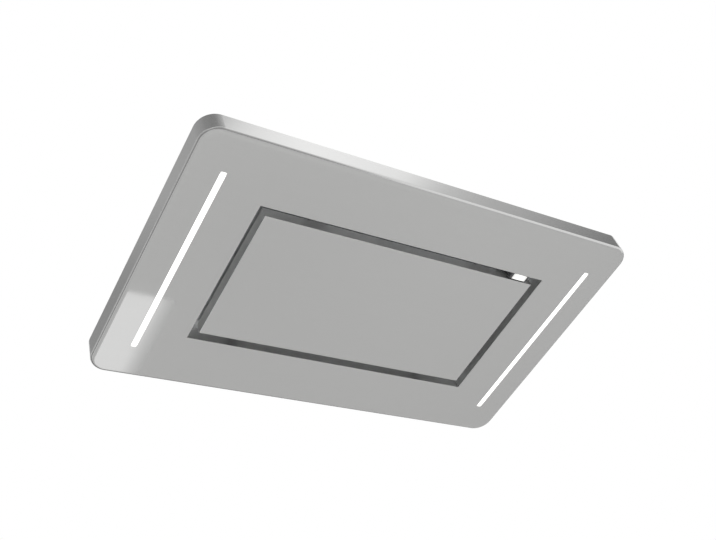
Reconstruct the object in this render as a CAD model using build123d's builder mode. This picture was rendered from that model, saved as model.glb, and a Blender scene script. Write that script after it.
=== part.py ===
from build123d import *
import os
from math import cos, radians, sin

# Ceiling range hood: a shallow steel slab that lies against the ceiling, with a flush suction
# panel in it, and a recessed housing above it that holds the filters, the blower and the duct.
# Millimetres. The ceiling plane is z = 0, the slab hangs below it, +X runs along the slab's
# long edge, +Y runs to the duct, and the origin is the middle of the slab.

# ---- driving dimensions: slab ----
slab_length = 1000
slab_depth = 600
slab_height = 48
slab_corner_radius = 38
slab_edge_radius = 9
fascia_sheet = 1.2
tray_sheet = 1.0
tray_skirt = 14
sheet_fit = 0.2

# ---- driving dimensions: suction opening and panel ----
opening_length = 676
opening_depth = 343
suction_gap = 18
opening_edge_radius = 1
hanger_window_inner = 115
hanger_window_outer = 410
panel_sheet = 1.2
panel_fold = 25
panel_lip = 12
bend_radius = 1.5
hinge_spacing = 460
hinge_inset = 10.5
hinge_rise = 15
hinge_pin_radius = 2.5
hinge_running_gap = 0.05
hinge_boss_radius = 6
hinge_arm_sheet = 2.5
hinge_ear_sheet = 1.5
hinge_side_gap = 0.5
hinge_notch_width = 24
hinge_notch_floor = 2
hinge_foot_length = 30
magnet_spacing = 400
magnet_length = 40
magnet_air_gap = 0.3
strike_sheet = 1.2

# ---- driving dimensions: light strips ----
light_inset = 69
light_length = 440
light_width = 12.5
diffuser_sheet = 2
light_fit = 0.3
channel_wall = 1.4
channel_height = 14
board_sheet = 1.6
clip_sheet = 0.8
clip_width = 12
clip_foot = 9
clip_inset = 60

# ---- driving dimensions: filter carrier and grease filters ----
panel_headroom = 7
carrier_sheet = 1.0
carrier_margin = 26
carrier_bar = 32
filter_height = 10
filter_clearance = 1.0
filter_stop = 9
filter_bar = 12
filter_front_bar = 22
filter_skin = 1.2
mesh_sheet = 0.8
mesh_pitch = 14
seat_gap = 0.3
latch_width = 30
latch_height = 3.2
latch_length = 15
latch_reach = 5
latch_travel = 6
latch_pull_width = 20
latch_pull_depth = 4
latch_pull_drop = 4

# ---- driving dimensions: housing ----
housing_margin = 12
housing_sheet = 1.0
housing_flange = 22
roof_sheet = 1.2
roof_flange = 15
roof_headroom = 10
bracket_sheet = 2.5
bracket_width = 56
bracket_height = 60
hanger_reach = 30
hanger_inset = 44.5
hanger_hole_radius = 4.5
hanger_foot = 46

# ---- driving dimensions: blower ----
blower_setback = 30
blower_clearance = 8
scroll_sheet = 1.0
impeller_side_gap = 10
scroll_radius = 78
scroll_step = 5
tongue_angle = 15
outlet_drop = 81
tongue_radius = 4
impeller_radius = 70
impeller_width = 120
blade_depth = 13
blade_count = 34
blade_sweep = 9
blade_sheet = 1.2
impeller_plate = 1.5
hub_radius = 13
hub_length = 16
inlet_sheet = 1.0
inlet_radius = 55
inlet_lip = 9
inlet_flange = 9
motor_radius = 44
motor_length = 62
motor_corner_radius = 6
spider_disc_radius = 31
shaft_radius = 5
shaft_fit = 0.05
spider_sheet = 2
spider_gap = 4
spider_arm_width = 14
mount_radius = 9
mount_height = 8
mount_tab = 28

# ---- driving dimensions: outlet ----
collar_radius = 75
collar_wall = 1.5
collar_length = 55
collar_margin = 12
duct_length = 83.5
sleeve_length = 10
flap_sheet = 1.0
flap_edge_gap = 1.0
flap_pin_radius = 2
flap_pin_gap = 0.06
flap_barrel_wall = 1.6
flap_pin_inset = 20

# ---- driving dimensions: electrics ----
box_length = 180
box_height = 110
box_depth = 46
box_wall = 2
box_floor_z = 22
board_length = 130
board_height = 80
board_thickness = 1.6
standoff = 6
gland_bore_radius = 4.2
gland_hex = 19
gland_length = 26
gland_thread_radius = 6.8
gland_dome_radius = 8.8
gland_dome_fillet = 3.8
driver_length = 150
driver_height = 42
driver_depth = 28
driver_floor_z = 60
capacitor_radius = 17.5
capacitor_length = 62
capacitor_edge_radius = 1.5
blade_terminal_sheet = 0.8
blade_terminal_width = 6.3
blade_terminal_length = 8
relay_size = 15
pole_pitch = 9
terminal_depth = 18
cable_radius = 3.5
cable_bend = 30
clip_strap = 1.2
grommet_wall = 3

# ---- driving dimensions: fasteners ----
screw_radius = 2
screw_fit = 0.2
bolt_radius = 3

# ---- levels ----
face_z = -slab_height
face_top_z = face_z + fascia_sheet
panel_top_z = face_z + panel_fold
carrier_z = panel_top_z + panel_headroom
filter_top_z = carrier_z + filter_height
stop_top_z = filter_top_z + seat_gap + carrier_sheet

# ---- plan sizes ----
panel_length = opening_length - 2 * suction_gap
panel_depth = opening_depth - 2 * suction_gap
light_x = slab_length / 2 - light_inset
window_depth = opening_depth - 2 * carrier_margin
window_length = (opening_length - 2 * carrier_margin - carrier_bar) / 2
window_x = (carrier_bar + window_length) / 2
filter_length = window_length - 2 * filter_clearance
filter_depth = window_depth - 2 * filter_clearance
inner_length = opening_length + 2 * housing_margin
inner_depth = opening_depth + 2 * housing_margin
outer_length = inner_length + 2 * housing_sheet
outer_depth = inner_depth + 2 * housing_sheet

# ---- blower places ----
scroll_width = impeller_width + 2 * impeller_side_gap
blower_y = -blower_setback
blower_z = stop_top_z + blower_clearance + scroll_sheet + scroll_radius
scroll_top = scroll_radius + 3 * scroll_step
roof_z = blower_z + scroll_top + scroll_sheet + roof_headroom
outlet_y = inner_depth / 2 - duct_length
outlet_mid_z = blower_z + scroll_top - outlet_drop / 2
collar_z = roof_z - collar_margin - collar_radius
collar_bore_radius = collar_radius - collar_wall
flap_pin_y = outer_depth / 2 + roof_sheet + flap_pin_inset

# Screws that tie the carrier to the opening collar, three in front and three behind.
carrier_screw_z = carrier_z + carrier_sheet + 2 * screw_radius + sheet_fit
carrier_screw_pitch = opening_length / 3

hinge_y = panel_depth / 2 - hinge_inset
hinge_z = face_z + hinge_rise
hinge_spots = [(-hinge_spacing / 2, "left"), (hinge_spacing / 2, "right")]
side_signs = [(-1, "left"), (1, "right")]

UP = (Align.CENTER, Align.CENTER, Align.MIN)
DOWN = (Align.CENTER, Align.CENTER, Align.MAX)

os.makedirs("parts", exist_ok=True)


def save(piece, name):
    """Label a finished piece and write its file."""
    piece.label = name
    export_step(piece, f"parts/{name}.step")


def pan_screw(radius, length):
    """A pan-head screw: its seat is at the origin and its thread points down."""
    head_height = 1.3 * radius
    with BuildPart() as screw:
        Cylinder(radius, length, align=DOWN)
        Cylinder(2 * radius, head_height, align=UP)
        fillet(screw.edges().sort_by(Axis.Z)[-1], 0.6 * head_height)
    return screw.part


def hex_bolt(radius, length):
    """A hexagon-head bolt: its seat is at the origin and its thread points down."""
    with BuildPart() as bolt:
        Cylinder(radius, length, align=DOWN)
        with BuildSketch(Plane.XY):
            RegularPolygon(1.7 * radius, 6)
        extrude(amount=1.4 * radius)
    return bolt.part


# =====================================================================================
# Slab
# =====================================================================================

# Fascia: satin sheet with a flat face, a rolled lower edge and an upright rim. The face strips,
# four straight rims and four corner rims are seam-welded and ground flush. The suction opening is
# between the face strips, and a slot near each short side takes a light strip.
with BuildPart() as fascia_form:
    with BuildSketch(Plane.XY.offset(face_z)):
        RectangleRounded(slab_length, slab_depth, slab_corner_radius)
    extrude(amount=slab_height)
    fillet(fascia_form.faces().sort_by(Axis.Z)[0].edges(), slab_edge_radius)
    offset(amount=-fascia_sheet, openings=fascia_form.faces().sort_by(Axis.Z)[-1])
    with BuildSketch(Plane.XY.offset(face_z)):
        Rectangle(opening_length, opening_depth)
        with Locations((-light_x, 0), (light_x, 0)):
            RectangleRounded(light_width, light_length, bend_radius)
    extrude(amount=slab_height, mode=Mode.SUBTRACT)
    opening_edges = fascia_form.edges().filter_by(GeomType.LINE).group_by(Axis.Z)[0]
    fillet([edge for edge in opening_edges if abs(edge.center().X) < opening_length / 2 + 1
            and abs(edge.center().Y) < opening_depth / 2 + 1], opening_edge_radius)

face_half_length = slab_length / 2 - slab_edge_radius
face_half_depth = slab_depth / 2 - slab_edge_radius
straight_half_length = slab_length / 2 - slab_corner_radius
straight_half_depth = slab_depth / 2 - slab_corner_radius
with BuildPart() as face_zone:
    with BuildSketch(Plane.XY.offset(face_z - 1)):
        RectangleRounded(2 * face_half_length, 2 * face_half_depth, slab_corner_radius - slab_edge_radius)
    extrude(amount=slab_height + 2)
face_sheet = fascia_form.part & face_zone.part
rim_sheet = fascia_form.part - face_zone.part


def zone(x_low, x_high, y_low, y_high):
    """A block over the slab's whole height, between these plan coordinates."""
    block = Box(x_high - x_low, y_high - y_low, slab_height + 2, align=(Align.MIN, Align.MIN, Align.MIN))
    return Pos(x_low, y_low, face_z - 1) * block


fascia_zones = []
for sign in (-1, 1):
    low, high = sorted((sign * opening_depth / 2, sign * slab_depth / 2))
    fascia_zones.append((face_sheet, zone(-slab_length / 2, slab_length / 2, low, high)))
    fascia_zones.append((rim_sheet, zone(-straight_half_length, straight_half_length, low, high)))
    low, high = sorted((sign * opening_length / 2, sign * slab_length / 2))
    fascia_zones.append((face_sheet, zone(low, high, -opening_depth / 2, opening_depth / 2)))
    fascia_zones.append((rim_sheet, zone(low, high, -straight_half_depth, straight_half_depth)))
    for other in (-1, 1):
        y_low, y_high = sorted((other * straight_half_depth, other * slab_depth / 2))
        x_low, x_high = sorted((sign * straight_half_length, sign * slab_length / 2))
        fascia_zones.append((rim_sheet, zone(x_low, x_high, y_low, y_high)))
fascia_pieces = []
for sheet, block in fascia_zones:
    fascia_pieces += (sheet & block).solids()
save(Compound(children=fascia_pieces), "fascia_frame")

# Opening collar: four flat strips welded on the face sheet round the opening. They wall the
# suction opening up to the tray.
opening_collar = []
strip_height = -tray_sheet - face_top_z
for y_sign in (-1, 1):
    outward = Align.MIN if y_sign > 0 else Align.MAX
    with BuildPart() as long_strip:
        with Locations((0, y_sign * opening_depth / 2, face_top_z)):
            Box(opening_length + 2 * fascia_sheet, fascia_sheet, strip_height,
                align=(Align.CENTER, outward, Align.MIN))
        with BuildSketch(Plane.XZ.offset(-y_sign * opening_depth / 2)):
            with Locations((0, carrier_screw_z)):
                with GridLocations(carrier_screw_pitch, 1, 3, 1):
                    Circle(screw_radius + screw_fit)
        extrude(amount=2 * fascia_sheet, both=True, mode=Mode.SUBTRACT)
    opening_collar.append(long_strip.part.solid())
for x_sign in (-1, 1):
    outward = Align.MIN if x_sign > 0 else Align.MAX
    with BuildPart() as short_strip:
        with Locations((x_sign * opening_length / 2, 0, face_top_z)):
            Box(fascia_sheet, opening_depth, strip_height, align=(outward, Align.CENTER, Align.MIN))
    opening_collar.append(short_strip.part.solid())
save(Compound(children=opening_collar), "opening_collar")

# Back tray: galvanised plates that close the slab against the ceiling, one along each side and a
# small one near each corner, with four folded skirts inside the rim. Beside each small plate a
# window is left for a hanger's nut.
hanger_spacing_x = outer_length + 2 * hanger_reach
hanger_spacing_y = outer_depth - 2 * hanger_inset
flange_screw_y = outer_depth / 2 + housing_flange / 2
flange_screw_pitch = outer_length / 4
tray_half_length = slab_length / 2 - fascia_sheet - sheet_fit
tray_half_depth = slab_depth / 2 - fascia_sheet - sheet_fit
tray_corner_radius = slab_corner_radius - fascia_sheet - sheet_fit
with BuildPart() as tray_form:
    with BuildSketch(Plane.XY.offset(-tray_sheet)):
        RectangleRounded(2 * tray_half_length, 2 * tray_half_depth, tray_corner_radius)
        Rectangle(opening_length, opening_depth, mode=Mode.SUBTRACT)
        with GridLocations(flange_screw_pitch, 2 * flange_screw_y, 4, 2):
            Circle(screw_radius + screw_fit, mode=Mode.SUBTRACT)
    extrude(amount=tray_sheet)
tray_pieces = []
for sign in (-1, 1):
    low, high = sorted((sign * opening_depth / 2, sign * slab_depth / 2))
    tray_pieces.append((tray_form.part & zone(-slab_length / 2, slab_length / 2, low, high)).solid())
    low, high = sorted((sign * opening_length / 2, sign * slab_length / 2))
    side_plate = tray_form.part & zone(low, high, -hanger_window_inner, hanger_window_inner)
    tray_pieces.append(side_plate.solid())
    low, high = sorted((sign * hanger_window_outer, sign * slab_length / 2))
    for other in (-1, 1):
        y_low, y_high = sorted((other * hanger_window_inner, other * opening_depth / 2))
        tray_pieces.append((tray_form.part & zone(low, high, y_low, y_high)).solid())
    long_skirt = Box(2 * straight_half_length, tray_sheet, tray_skirt - tray_sheet, align=DOWN)
    skirt_y = sign * (tray_half_depth - tray_sheet / 2)
    tray_pieces.append((Pos(0, skirt_y, -tray_sheet) * long_skirt).solid())
    short_skirt = Box(tray_sheet, 2 * straight_half_depth, tray_skirt - tray_sheet, align=DOWN)
    skirt_x = sign * (tray_half_length - tray_sheet / 2)
    tray_pieces.append((Pos(skirt_x, 0, -tray_sheet) * short_skirt).solid())
save(Compound(children=tray_pieces), "back_tray")

# =====================================================================================
# Suction panel
# =====================================================================================

# Panel: a shallow folded pan whose face is flush with the slab's face. A lip stiffens its upper
# edge, and two notches in the rear fold let the hinge arms swing through.
with BuildPart() as suction_panel:
    with BuildSketch(Plane.XY.offset(face_z)):
        Rectangle(panel_length, panel_depth)
    extrude(amount=panel_fold)
    fillet(suction_panel.faces().sort_by(Axis.Z)[0].edges(), bend_radius)
    with BuildSketch(Plane.XY.offset(face_z + panel_sheet)):
        Rectangle(panel_length - 2 * panel_sheet, panel_depth - 2 * panel_sheet)
    extrude(amount=panel_fold - 2 * panel_sheet, mode=Mode.SUBTRACT)
    with BuildSketch(Plane.XY.offset(panel_top_z)):
        Rectangle(panel_length - 2 * panel_lip, panel_depth - 2 * panel_lip)
    extrude(amount=-2 * panel_sheet, mode=Mode.SUBTRACT)
    with Locations((-hinge_spacing / 2, panel_depth / 2, face_z + hinge_notch_floor),
                   (hinge_spacing / 2, panel_depth / 2, face_z + hinge_notch_floor)):
        Box(hinge_notch_width, 2 * (panel_lip + 1), panel_fold, align=UP, mode=Mode.SUBTRACT)
save(suction_panel.part, "suction_panel")

# Hinge arm: an angle that hangs from the filter carrier's rear flange. Its foot is screwed to
# the flange, and its upright plate ends in an eye for the hinge pin.
arm_top_z = carrier_z
for hinge_x, side in hinge_spots:
    with BuildPart() as hinge_arm:
        with BuildSketch(Plane.YZ.offset(hinge_x - hinge_arm_sheet / 2)) as arm_outline:
            with Locations((hinge_y, hinge_z)):
                Circle(hinge_boss_radius)
            with Locations((hinge_y + hinge_boss_radius / 2, arm_top_z - hinge_arm_sheet / 2)):
                Rectangle(1.7 * hinge_boss_radius, hinge_arm_sheet)
            make_hull()
        extrude(amount=hinge_arm_sheet)
        with Locations((hinge_x, hinge_y - hinge_boss_radius / 2, arm_top_z)):
            Box(hinge_notch_width, hinge_foot_length, hinge_arm_sheet,
                align=(Align.CENTER, Align.MIN, Align.MAX))
        with Locations(Plane.YZ.offset(hinge_x)):
            with Locations((hinge_y, hinge_z)):
                Cylinder(hinge_pin_radius + hinge_running_gap, 2 * hinge_arm_sheet, mode=Mode.SUBTRACT)
    save(hinge_arm.part, f"hinge_arm_{side}")

# Hinge bracket: a bent channel on the panel's floor. Its two ears stand either side of the arm
# and hold the pin.
ear_offset = hinge_arm_sheet / 2 + hinge_side_gap
bracket_front_y = hinge_y - 2 * hinge_boss_radius
bracket_rear_y = hinge_y + hinge_boss_radius
for hinge_x, side in hinge_spots:
    with BuildPart() as hinge_bracket:
        with Locations((hinge_x, (bracket_front_y + bracket_rear_y) / 2, face_z + panel_sheet)):
            Box(hinge_notch_width, bracket_rear_y - bracket_front_y, hinge_ear_sheet, align=UP)
        with BuildSketch(Plane.YZ.offset(hinge_x - ear_offset - hinge_ear_sheet)):
            with Locations((hinge_y, hinge_z)):
                Circle(hinge_boss_radius)
            with Locations(((bracket_front_y + bracket_rear_y) / 2,
                            face_z + panel_sheet + hinge_ear_sheet / 2)):
                Rectangle(bracket_rear_y - bracket_front_y, hinge_ear_sheet)
            make_hull()
        extrude(amount=2 * (ear_offset + hinge_ear_sheet))
        with Locations((hinge_x, hinge_y, face_z + panel_sheet + hinge_ear_sheet)):
            Box(2 * ear_offset, 6 * hinge_boss_radius, panel_fold, align=UP, mode=Mode.SUBTRACT)
        with Locations(Plane.YZ.offset(hinge_x)):
            with Locations((hinge_y, hinge_z)):
                Cylinder(hinge_pin_radius, 4 * (ear_offset + hinge_ear_sheet), mode=Mode.SUBTRACT)
    save(hinge_bracket.part, f"hinge_bracket_{side}")

# Hinge pins: one pressed into each bracket's ears, with a head at each end.
pin_half = ear_offset + hinge_ear_sheet
with BuildPart() as hinge_pins:
    for hinge_x, side in hinge_spots:
        with Locations(Plane.YZ.offset(hinge_x)):
            with Locations((hinge_y, hinge_z)):
                Cylinder(hinge_pin_radius, 2 * pin_half)
        for end in (-1, 1):
            with Locations(Plane.YZ.offset(hinge_x + end * (pin_half + hinge_ear_sheet / 2))):
                with Locations((hinge_y, hinge_z)):
                    Cylinder(1.6 * hinge_pin_radius, hinge_ear_sheet)
save(hinge_pins.part, "hinge_pins")

# Magnet catches: two blocks under the carrier's front flange, each over a steel strike plate
# that is riveted on the panel's front lip.
magnet_rear_y = -window_depth / 2
magnet_front_y = magnet_rear_y - carrier_margin + 3
magnet_bottom_z = panel_top_z + strike_sheet + magnet_air_gap
with BuildPart() as magnet_catches:
    with GridLocations(magnet_spacing, 1, 2, 1):
        with Locations((0, (magnet_rear_y + magnet_front_y) / 2, carrier_z)):
            Box(magnet_length, magnet_rear_y - magnet_front_y, carrier_z - magnet_bottom_z, align=DOWN)
    chamfer(magnet_catches.edges().filter_by(Axis.Z), bend_radius)
save(magnet_catches.part, "magnet_catches")

with BuildPart() as strike_plates:
    with GridLocations(magnet_spacing, 1, 2, 1):
        with Locations((0, panel_lip / 2 - panel_depth / 2 + strike_sheet / 2, panel_top_z)):
            Box(magnet_length, panel_lip - strike_sheet, strike_sheet, align=UP)
save(strike_plates.part, "strike_plates")

# =====================================================================================
# Light strips
# =====================================================================================

channel_inner = light_width + 2 * light_fit
channel_outer = channel_inner + 2 * channel_wall
channel_top_z = face_top_z + channel_height
channel_length = light_length + 2 * channel_wall
for sign, side in side_signs:
    # Opal diffuser: flush with the face, with a shoulder that rests on the back of the sheet.
    with BuildPart() as led_diffuser:
        with BuildSketch(Plane.XY.offset(face_z)):
            with Locations((sign * light_x, 0)):
                RectangleRounded(light_width - light_fit, light_length - light_fit, bend_radius)
        extrude(amount=fascia_sheet)
        with BuildSketch(Plane.XY.offset(face_top_z)):
            with Locations((sign * light_x, 0)):
                Rectangle(channel_inner - light_fit, light_length)
        extrude(amount=diffuser_sheet)
    save(led_diffuser.part, f"led_diffuser_{side}")

    # Light channel: an aluminium extrusion with its open side on the slot.
    with BuildPart() as led_channel:
        with Locations((sign * light_x, 0, face_top_z)):
            Box(channel_outer, light_length, channel_height, align=UP)
            Box(channel_inner, light_length, channel_height - channel_wall, align=UP, mode=Mode.SUBTRACT)
    save(led_channel.part, f"led_channel_{side}")

# Light boards: a strip with its row of emitters under each channel's web.
with BuildPart() as led_boards:
    with GridLocations(2 * light_x, 1, 2, 1):
        with Locations((0, 0, channel_top_z - channel_wall)):
            Box(channel_inner - 2 * light_fit, light_length - 2 * channel_wall, board_sheet, align=DOWN)
save(led_boards.part, "led_boards")

# End caps close the channels, and hat-shaped clips, spot-welded to the face, hold them down.
with BuildPart() as led_end_caps:
    with GridLocations(2 * light_x, light_length + channel_wall, 2, 2):
        with Locations((0, 0, face_top_z)):
            Box(channel_outer, channel_wall, channel_height, align=UP)
save(led_end_caps.part, "led_end_caps")

clip_span = channel_outer + 2 * (sheet_fit + clip_sheet)
with BuildPart() as led_clips:
    with GridLocations(2 * light_x, light_length / 2 - clip_inset, 2, 3):
        with Locations((0, 0, face_top_z)):
            Box(clip_span + 2 * clip_foot, clip_width, clip_sheet, align=UP)
            Box(clip_span, clip_width, channel_height + sheet_fit + clip_sheet, align=UP)
            Box(clip_span - 2 * clip_sheet, clip_width, channel_height + sheet_fit, align=UP,
                mode=Mode.SUBTRACT)
save(led_clips.part, "led_clips")

# =====================================================================================
# Filters
# =====================================================================================

# Filter carrier: a folded ring screwed into the opening. Its bottom flange carries the hinge arms
# and magnets, its windows hold the filters, and a stop above each window seats them.
carrier_length = opening_length - 2 * sheet_fit
carrier_depth = opening_depth - 2 * sheet_fit
web_height = stop_top_z - carrier_z
window_spots = [(-window_x, 0), (window_x, 0)]
with BuildPart() as filter_carrier:
    with BuildSketch(Plane.XY.offset(carrier_z)):
        Rectangle(carrier_length, carrier_depth)
    extrude(amount=web_height)
    with BuildSketch(Plane.XY.offset(carrier_z + carrier_sheet)):
        Rectangle(carrier_length - 2 * carrier_sheet, carrier_depth - 2 * carrier_sheet)
        with Locations(*window_spots):
            Rectangle(window_length + 2 * carrier_sheet, window_depth + 2 * carrier_sheet,
                      mode=Mode.SUBTRACT)
    extrude(amount=web_height, mode=Mode.SUBTRACT)
    with BuildSketch(Plane.XY.offset(carrier_z)):
        with Locations(*window_spots):
            Rectangle(window_length, window_depth)
    extrude(amount=web_height - carrier_sheet, mode=Mode.SUBTRACT)
    with BuildSketch(Plane.XY.offset(carrier_z)):
        with Locations(*window_spots):
            Rectangle(window_length - 2 * filter_stop, window_depth - 2 * filter_stop)
    extrude(amount=web_height, mode=Mode.SUBTRACT)
    # slots for the latch bolts in front and for the filter tongues behind
    latch_z = carrier_z + filter_height / 2
    with Locations(*[(x, -window_depth / 2, latch_z) for x, y in window_spots]):
        Box(latch_width + 2 * seat_gap, 4 * carrier_sheet, latch_height + 2 * seat_gap,
            mode=Mode.SUBTRACT)
    with Locations(*[(x, window_depth / 2, latch_z) for x, y in window_spots]):
        Box(latch_width + 2 * filter_clearance, 4 * carrier_sheet, latch_height + 2 * seat_gap,
            mode=Mode.SUBTRACT)
    for wall_y in (-carrier_depth / 2, carrier_depth / 2):
        with BuildSketch(Plane.XZ.offset(-wall_y)):
            with Locations((0, carrier_screw_z)):
                with GridLocations(carrier_screw_pitch, 1, 3, 1):
                    Circle(screw_radius)
        extrude(amount=2 * carrier_sheet, both=True, mode=Mode.SUBTRACT)
save(filter_carrier.part, "filter_carrier")

# Grease filters: each is a drawn frame round a folded mesh pad. A fixed tongue holds the rear
# edge, and a sliding latch in the wide front bar holds the front edge.
front_edge_y = -filter_depth / 2
rear_edge_y = filter_depth / 2
pad_depth = filter_depth - filter_front_bar - filter_bar
pad_y = (filter_front_bar - filter_bar) / 2
groove = filter_bar - 2 * filter_skin
pad_height = filter_height - 2 * filter_skin
pocket_depth = latch_length - latch_reach + latch_travel + 2 * seat_gap
pull_y = front_edge_y + latch_length - latch_reach - latch_pull_depth / 2
for sign, side in side_signs:
    filter_x = sign * window_x
    with BuildPart() as filter_frame:
        with Locations((filter_x, 0, carrier_z)):
            Box(filter_length, filter_depth, filter_height, align=UP)
        with Locations((filter_x, pad_y, carrier_z)):
            Box(filter_length - 2 * filter_bar, pad_depth, filter_height, align=UP, mode=Mode.SUBTRACT)
        with Locations((filter_x, pad_y, carrier_z + filter_skin)):
            Box(filter_length - 2 * filter_skin, pad_depth + 2 * filter_skin, pad_height, align=UP,
                mode=Mode.SUBTRACT)
        with Locations((filter_x, rear_edge_y, latch_z)):
            Box(latch_width, latch_reach, latch_height, align=(Align.CENTER, Align.MIN, Align.CENTER))
        with Locations((filter_x, front_edge_y, latch_z)):
            Box(latch_width, pocket_depth, latch_height,
                align=(Align.CENTER, Align.MIN, Align.CENTER), mode=Mode.SUBTRACT)
        with Locations((filter_x, pull_y - latch_pull_depth / 2 - seat_gap, latch_z)):
            Box(latch_pull_width, latch_pull_depth + latch_travel + 2 * seat_gap, filter_height,
                align=(Align.CENTER, Align.MIN, Align.MAX), mode=Mode.SUBTRACT)
    save(filter_frame.part, f"filter_frame_{side}")

    # Latch: a flat bolt with a finger pull that hangs through the frame's lower slot.
    with BuildPart() as filter_latch:
        with Locations((filter_x, front_edge_y - latch_reach, latch_z)):
            Box(latch_width - 2 * seat_gap, latch_length, latch_height - 2 * seat_gap,
                align=(Align.CENTER, Align.MIN, Align.CENTER))
        with Locations((filter_x, pull_y, latch_z)):
            Box(latch_pull_width - 2 * seat_gap, latch_pull_depth, filter_height / 2 + latch_pull_drop,
                align=DOWN)
        fillet(filter_latch.edges().group_by(Axis.Z)[0].filter_by(Axis.X), latch_pull_depth / 3)
    save(filter_latch.part, f"filter_latch_{side}")

    # Mesh pad: expanded aluminium sheet, folded to and fro between the frame's skins.
    pad_length = filter_length - 2 * filter_skin - 2 * seat_gap
    fold_count = int(pad_length / mesh_pitch / 2)
    fold_step = pad_length / fold_count / 2
    crest = (pad_height - mesh_sheet) / 2 - seat_gap
    pad_mid_z = carrier_z + filter_height / 2
    fold_points = [(filter_x - pad_length / 2 + step * fold_step,
                    pad_mid_z - crest if step % 2 == 0 else pad_mid_z + crest)
                   for step in range(2 * fold_count + 1)]
    with BuildPart() as filter_mesh:
        with BuildSketch(Plane.XZ.offset(-pad_y - pad_depth / 2 - filter_skin + seat_gap)):
            with BuildLine():
                Polyline(*fold_points)
            trace(line_width=mesh_sheet)
        extrude(amount=pad_depth + 2 * filter_skin - 2 * seat_gap)
    save(filter_mesh.part, f"filter_mesh_{side}")

# Carrier screws: driven from the slab's inside through the collar's long strips.
carrier_screw = pan_screw(screw_radius, fascia_sheet + sheet_fit + 3 * carrier_sheet)
with BuildPart() as carrier_screws:
    for y_sign in (-1, 1):
        for x_step in (-1, 0, 1):
            place = Location((x_step * carrier_screw_pitch, y_sign * (opening_depth / 2 + fascia_sheet),
                              carrier_screw_z), (-90 * y_sign, 0, 0))
            with Locations(place):
                add(carrier_screw)
save(carrier_screws.part, "carrier_screws")

# =====================================================================================
# Housing
# =====================================================================================

# Housing shell: four folded galvanised walls, riveted at the corners. The front and rear walls
# stand on a flange that is screwed to the tray, and all four turn in at the top for the roof.
roof_screw_pitch_x = outer_length / 4
roof_screw_y = outer_depth / 2 - roof_flange / 2
bolt_pitch = bracket_width / 2
bolt_z = bracket_height / 2 + bracket_sheet
grommet_y = box_length / 4
grommet_z = box_floor_z + box_height / 3
housing_shell = []
for y_sign in (-1, 1):
    inward = Align.MAX if y_sign > 0 else Align.MIN
    outward = Align.MIN if y_sign > 0 else Align.MAX
    with BuildPart() as long_wall:
        with Locations((0, y_sign * outer_depth / 2, 0)):
            Box(inner_length, housing_sheet, roof_z, align=(Align.CENTER, inward, Align.MIN))
            Box(inner_length, housing_flange, housing_sheet, align=(Align.CENTER, outward, Align.MIN))
        with Locations((0, y_sign * outer_depth / 2, roof_z)):
            Box(inner_length, roof_flange, housing_sheet, align=(Align.CENTER, inward, Align.MAX))
        with BuildSketch():
            with GridLocations(flange_screw_pitch, 2 * flange_screw_y, 4, 2):
                Circle(screw_radius + screw_fit)
        extrude(amount=housing_sheet, mode=Mode.SUBTRACT)
        with BuildSketch(Plane.XY.offset(roof_z)):
            with GridLocations(roof_screw_pitch_x, 2 * roof_screw_y, 4, 2):
                Circle(screw_radius + screw_fit)
        extrude(amount=-housing_sheet, mode=Mode.SUBTRACT)
        if y_sign > 0:
            with BuildSketch(Plane.XZ.offset(-inner_depth / 2)):
                with Locations((0, collar_z)):
                    Circle(collar_bore_radius)
                    with GridLocations(2 * collar_radius + collar_margin,
                                       2 * collar_radius + collar_margin, 2, 2):
                        Circle(screw_radius + screw_fit)
            extrude(amount=-housing_sheet, mode=Mode.SUBTRACT)
    housing_shell.append(long_wall.part.solid())
for sign, side in side_signs:
    inward = Align.MAX if sign > 0 else Align.MIN
    with BuildPart() as end_wall:
        with Locations((sign * outer_length / 2, 0, 0)):
            Box(housing_sheet, outer_depth, roof_z, align=(inward, Align.CENTER, Align.MIN))
        with Locations((sign * outer_length / 2, 0, roof_z)):
            Box(roof_flange, outer_depth - 2 * roof_flange, housing_sheet,
                align=(inward, Align.CENTER, Align.MAX))
        with BuildSketch(Plane.YZ.offset(sign * outer_length / 2)):
            with GridLocations(hanger_spacing_y, 1, 2, 1):
                with Locations((0, bolt_z)):
                    with GridLocations(bolt_pitch, 1, 2, 1):
                        Circle(bolt_radius + screw_fit)
            if sign < 0:
                with Locations((grommet_y, grommet_z)):
                    Circle(cable_radius + grommet_wall)
        extrude(amount=-sign * housing_sheet, mode=Mode.SUBTRACT)
    housing_shell.append(end_wall.part.solid())
save(Compound(children=housing_shell), "housing_shell")

# Roof: a flat lid on the shell's inward flange, with the holes that hang the blower.
mount_spots = [(sign * (scroll_width / 2 + scroll_sheet + mount_tab / 2), blower_y + reach)
               for sign in (-1, 1) for reach in (-scroll_radius / 2, scroll_radius / 2)]
with BuildPart() as housing_roof:
    with BuildSketch(Plane.XY.offset(roof_z)):
        Rectangle(outer_length, outer_depth)
        with GridLocations(roof_screw_pitch_x, 2 * roof_screw_y, 4, 2):
            Circle(screw_radius + screw_fit, mode=Mode.SUBTRACT)
        with Locations(*mount_spots):
            Circle(screw_radius + screw_fit, mode=Mode.SUBTRACT)
    extrude(amount=roof_sheet)
save(housing_roof.part, "housing_roof")

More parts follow.
